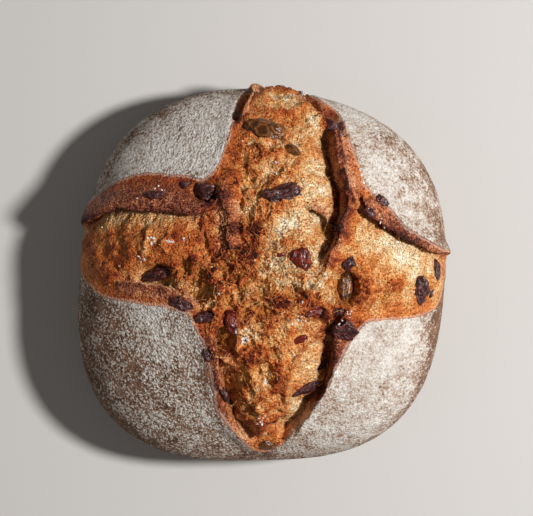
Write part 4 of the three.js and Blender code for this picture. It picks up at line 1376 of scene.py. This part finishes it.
draw = np.random.default_rng(7)
chosen = []
for x, y, spread, count in SPILLS:
    targets = to_map((x, y)) + draw.normal(0, spread * 0.35, (count, 2))
    for target in targets:
        away = np.hypot(u - target[0], v - target[1])
        chosen.append(np.argmin(away + FAR * (fields["cut"] < 0.5)))
chosen = np.array(chosen)
size = draw.uniform(*CLUMP_SIZE, len(chosen)) * draw.uniform(0.5, 1, len(chosen))
lumps = ball_points[None] * draw.uniform(*CLUMP_UNEVEN, (len(chosen), len(ball_points), 1))
lumps = lumps * (1, 1, CLUMP_FLAT)
lumps = np.einsum("nij,nkj->nki", turned(draw, len(chosen)), lumps) * size[:, None, None]
flour_clumps = join_copies("flour_clumps", lumps + points[chosen][:, None], ball_faces)
loose, add = new_material("loose_wheat_flour")
grain = add("TexNoise", add("TexCoord", out="Object"), Scale=per(CLUMP_GRAIN), Detail=2.0)
powder = add("ValToRGB", grain, shades=CLUMP_SHADES)
normal = add("Bump", Strength=0.6, Distance=CLUMP_RELIEF * MM, Height=grain)
shader = add("BsdfPrincipled", powder, Roughness=0.9, Normal=normal, Specular_IOR_Level=0.3)
add("OutputMaterial", shader)
finish_crumb(flour_clumps, loose)
print("flour clumps:", len(chosen))

# %% [markdown]
# ## Floor, light and camera
# The loaf lies on a plain pale floor. One large soft lamp stands to the right, a little above the
# picture's middle and well towards the viewer, so that the ears throw short shadows to the left. The
# camera looks straight down from far enough that the rim isn't foreshortened.

# %% Stage
FLOOR_SIZE = 6.0
KEY_DIRECTION = (0.58, 0.05, 0.81)
KEY_DISTANCE = 1.6
KEY_SIZE = 0.2
KEY_POWER = 28
FILL_DIRECTION = (-0.7, -0.3, 0.8)
FILL_DISTANCE = 2.0
FILL_SIZE = 1.2
FILL_POWER = 1.5
WORLD_STRENGTH = 0.10
CAMERA_HEIGHT = 1.2  # above the rim's level
PICTURE_WIDTH = 0.3203  # metres across at the rim's level
CAMERA_OFF = (0.00156, 0.00862)
SENSOR = 36

bpy.ops.object.select_all(action="DESELECT")
bpy.ops.mesh.primitive_plane_add(size=FLOOR_SIZE, location=(0, 0, 0))
floor = bpy.context.object
floor.name = "floor"
paper, add = new_material("pale_paper_floor")
add("OutputMaterial", add("BsdfPrincipled", "#cfcbc6", Roughness=0.9))
floor.data.materials.append(paper)


def add_lamp(name, direction, distance, size, power):
    lamp = bpy.data.objects.new(name, bpy.data.lights.new(name, "AREA"))
    lamp.data.shape = "DISK"
    lamp.data.size = size
    lamp.data.energy = power
    aim = np.array(direction) / np.linalg.norm(direction)
    lamp.location = aim * distance
    lamp.rotation_euler = Vector(aim).to_track_quat("Z", "Y").to_euler()
    bpy.context.collection.objects.link(lamp)


add_lamp("key", KEY_DIRECTION, KEY_DISTANCE, KEY_SIZE, KEY_POWER)
add_lamp("fill", FILL_DIRECTION, FILL_DISTANCE, FILL_SIZE, FILL_POWER)
world = bpy.data.worlds.new("soft_white")
world.use_nodes = True
sky = world.node_tree.nodes["Background"]
sky.inputs["Color"].default_value = (1, 1, 1, 1)
sky.inputs["Strength"].default_value = WORLD_STRENGTH
bpy.context.scene.world = world
bpy.context.scene.view_settings.view_transform = "Standard"

camera = bpy.data.objects.new("camera", bpy.data.cameras.new("camera"))
camera.location = (*CAMERA_OFF, RIM_HEIGHT * MM + CAMERA_HEIGHT)
camera.data.sensor_width = SENSOR
camera.data.lens = SENSOR * CAMERA_HEIGHT / PICTURE_WIDTH
bpy.context.collection.objects.link(camera)
bpy.context.scene.camera = camera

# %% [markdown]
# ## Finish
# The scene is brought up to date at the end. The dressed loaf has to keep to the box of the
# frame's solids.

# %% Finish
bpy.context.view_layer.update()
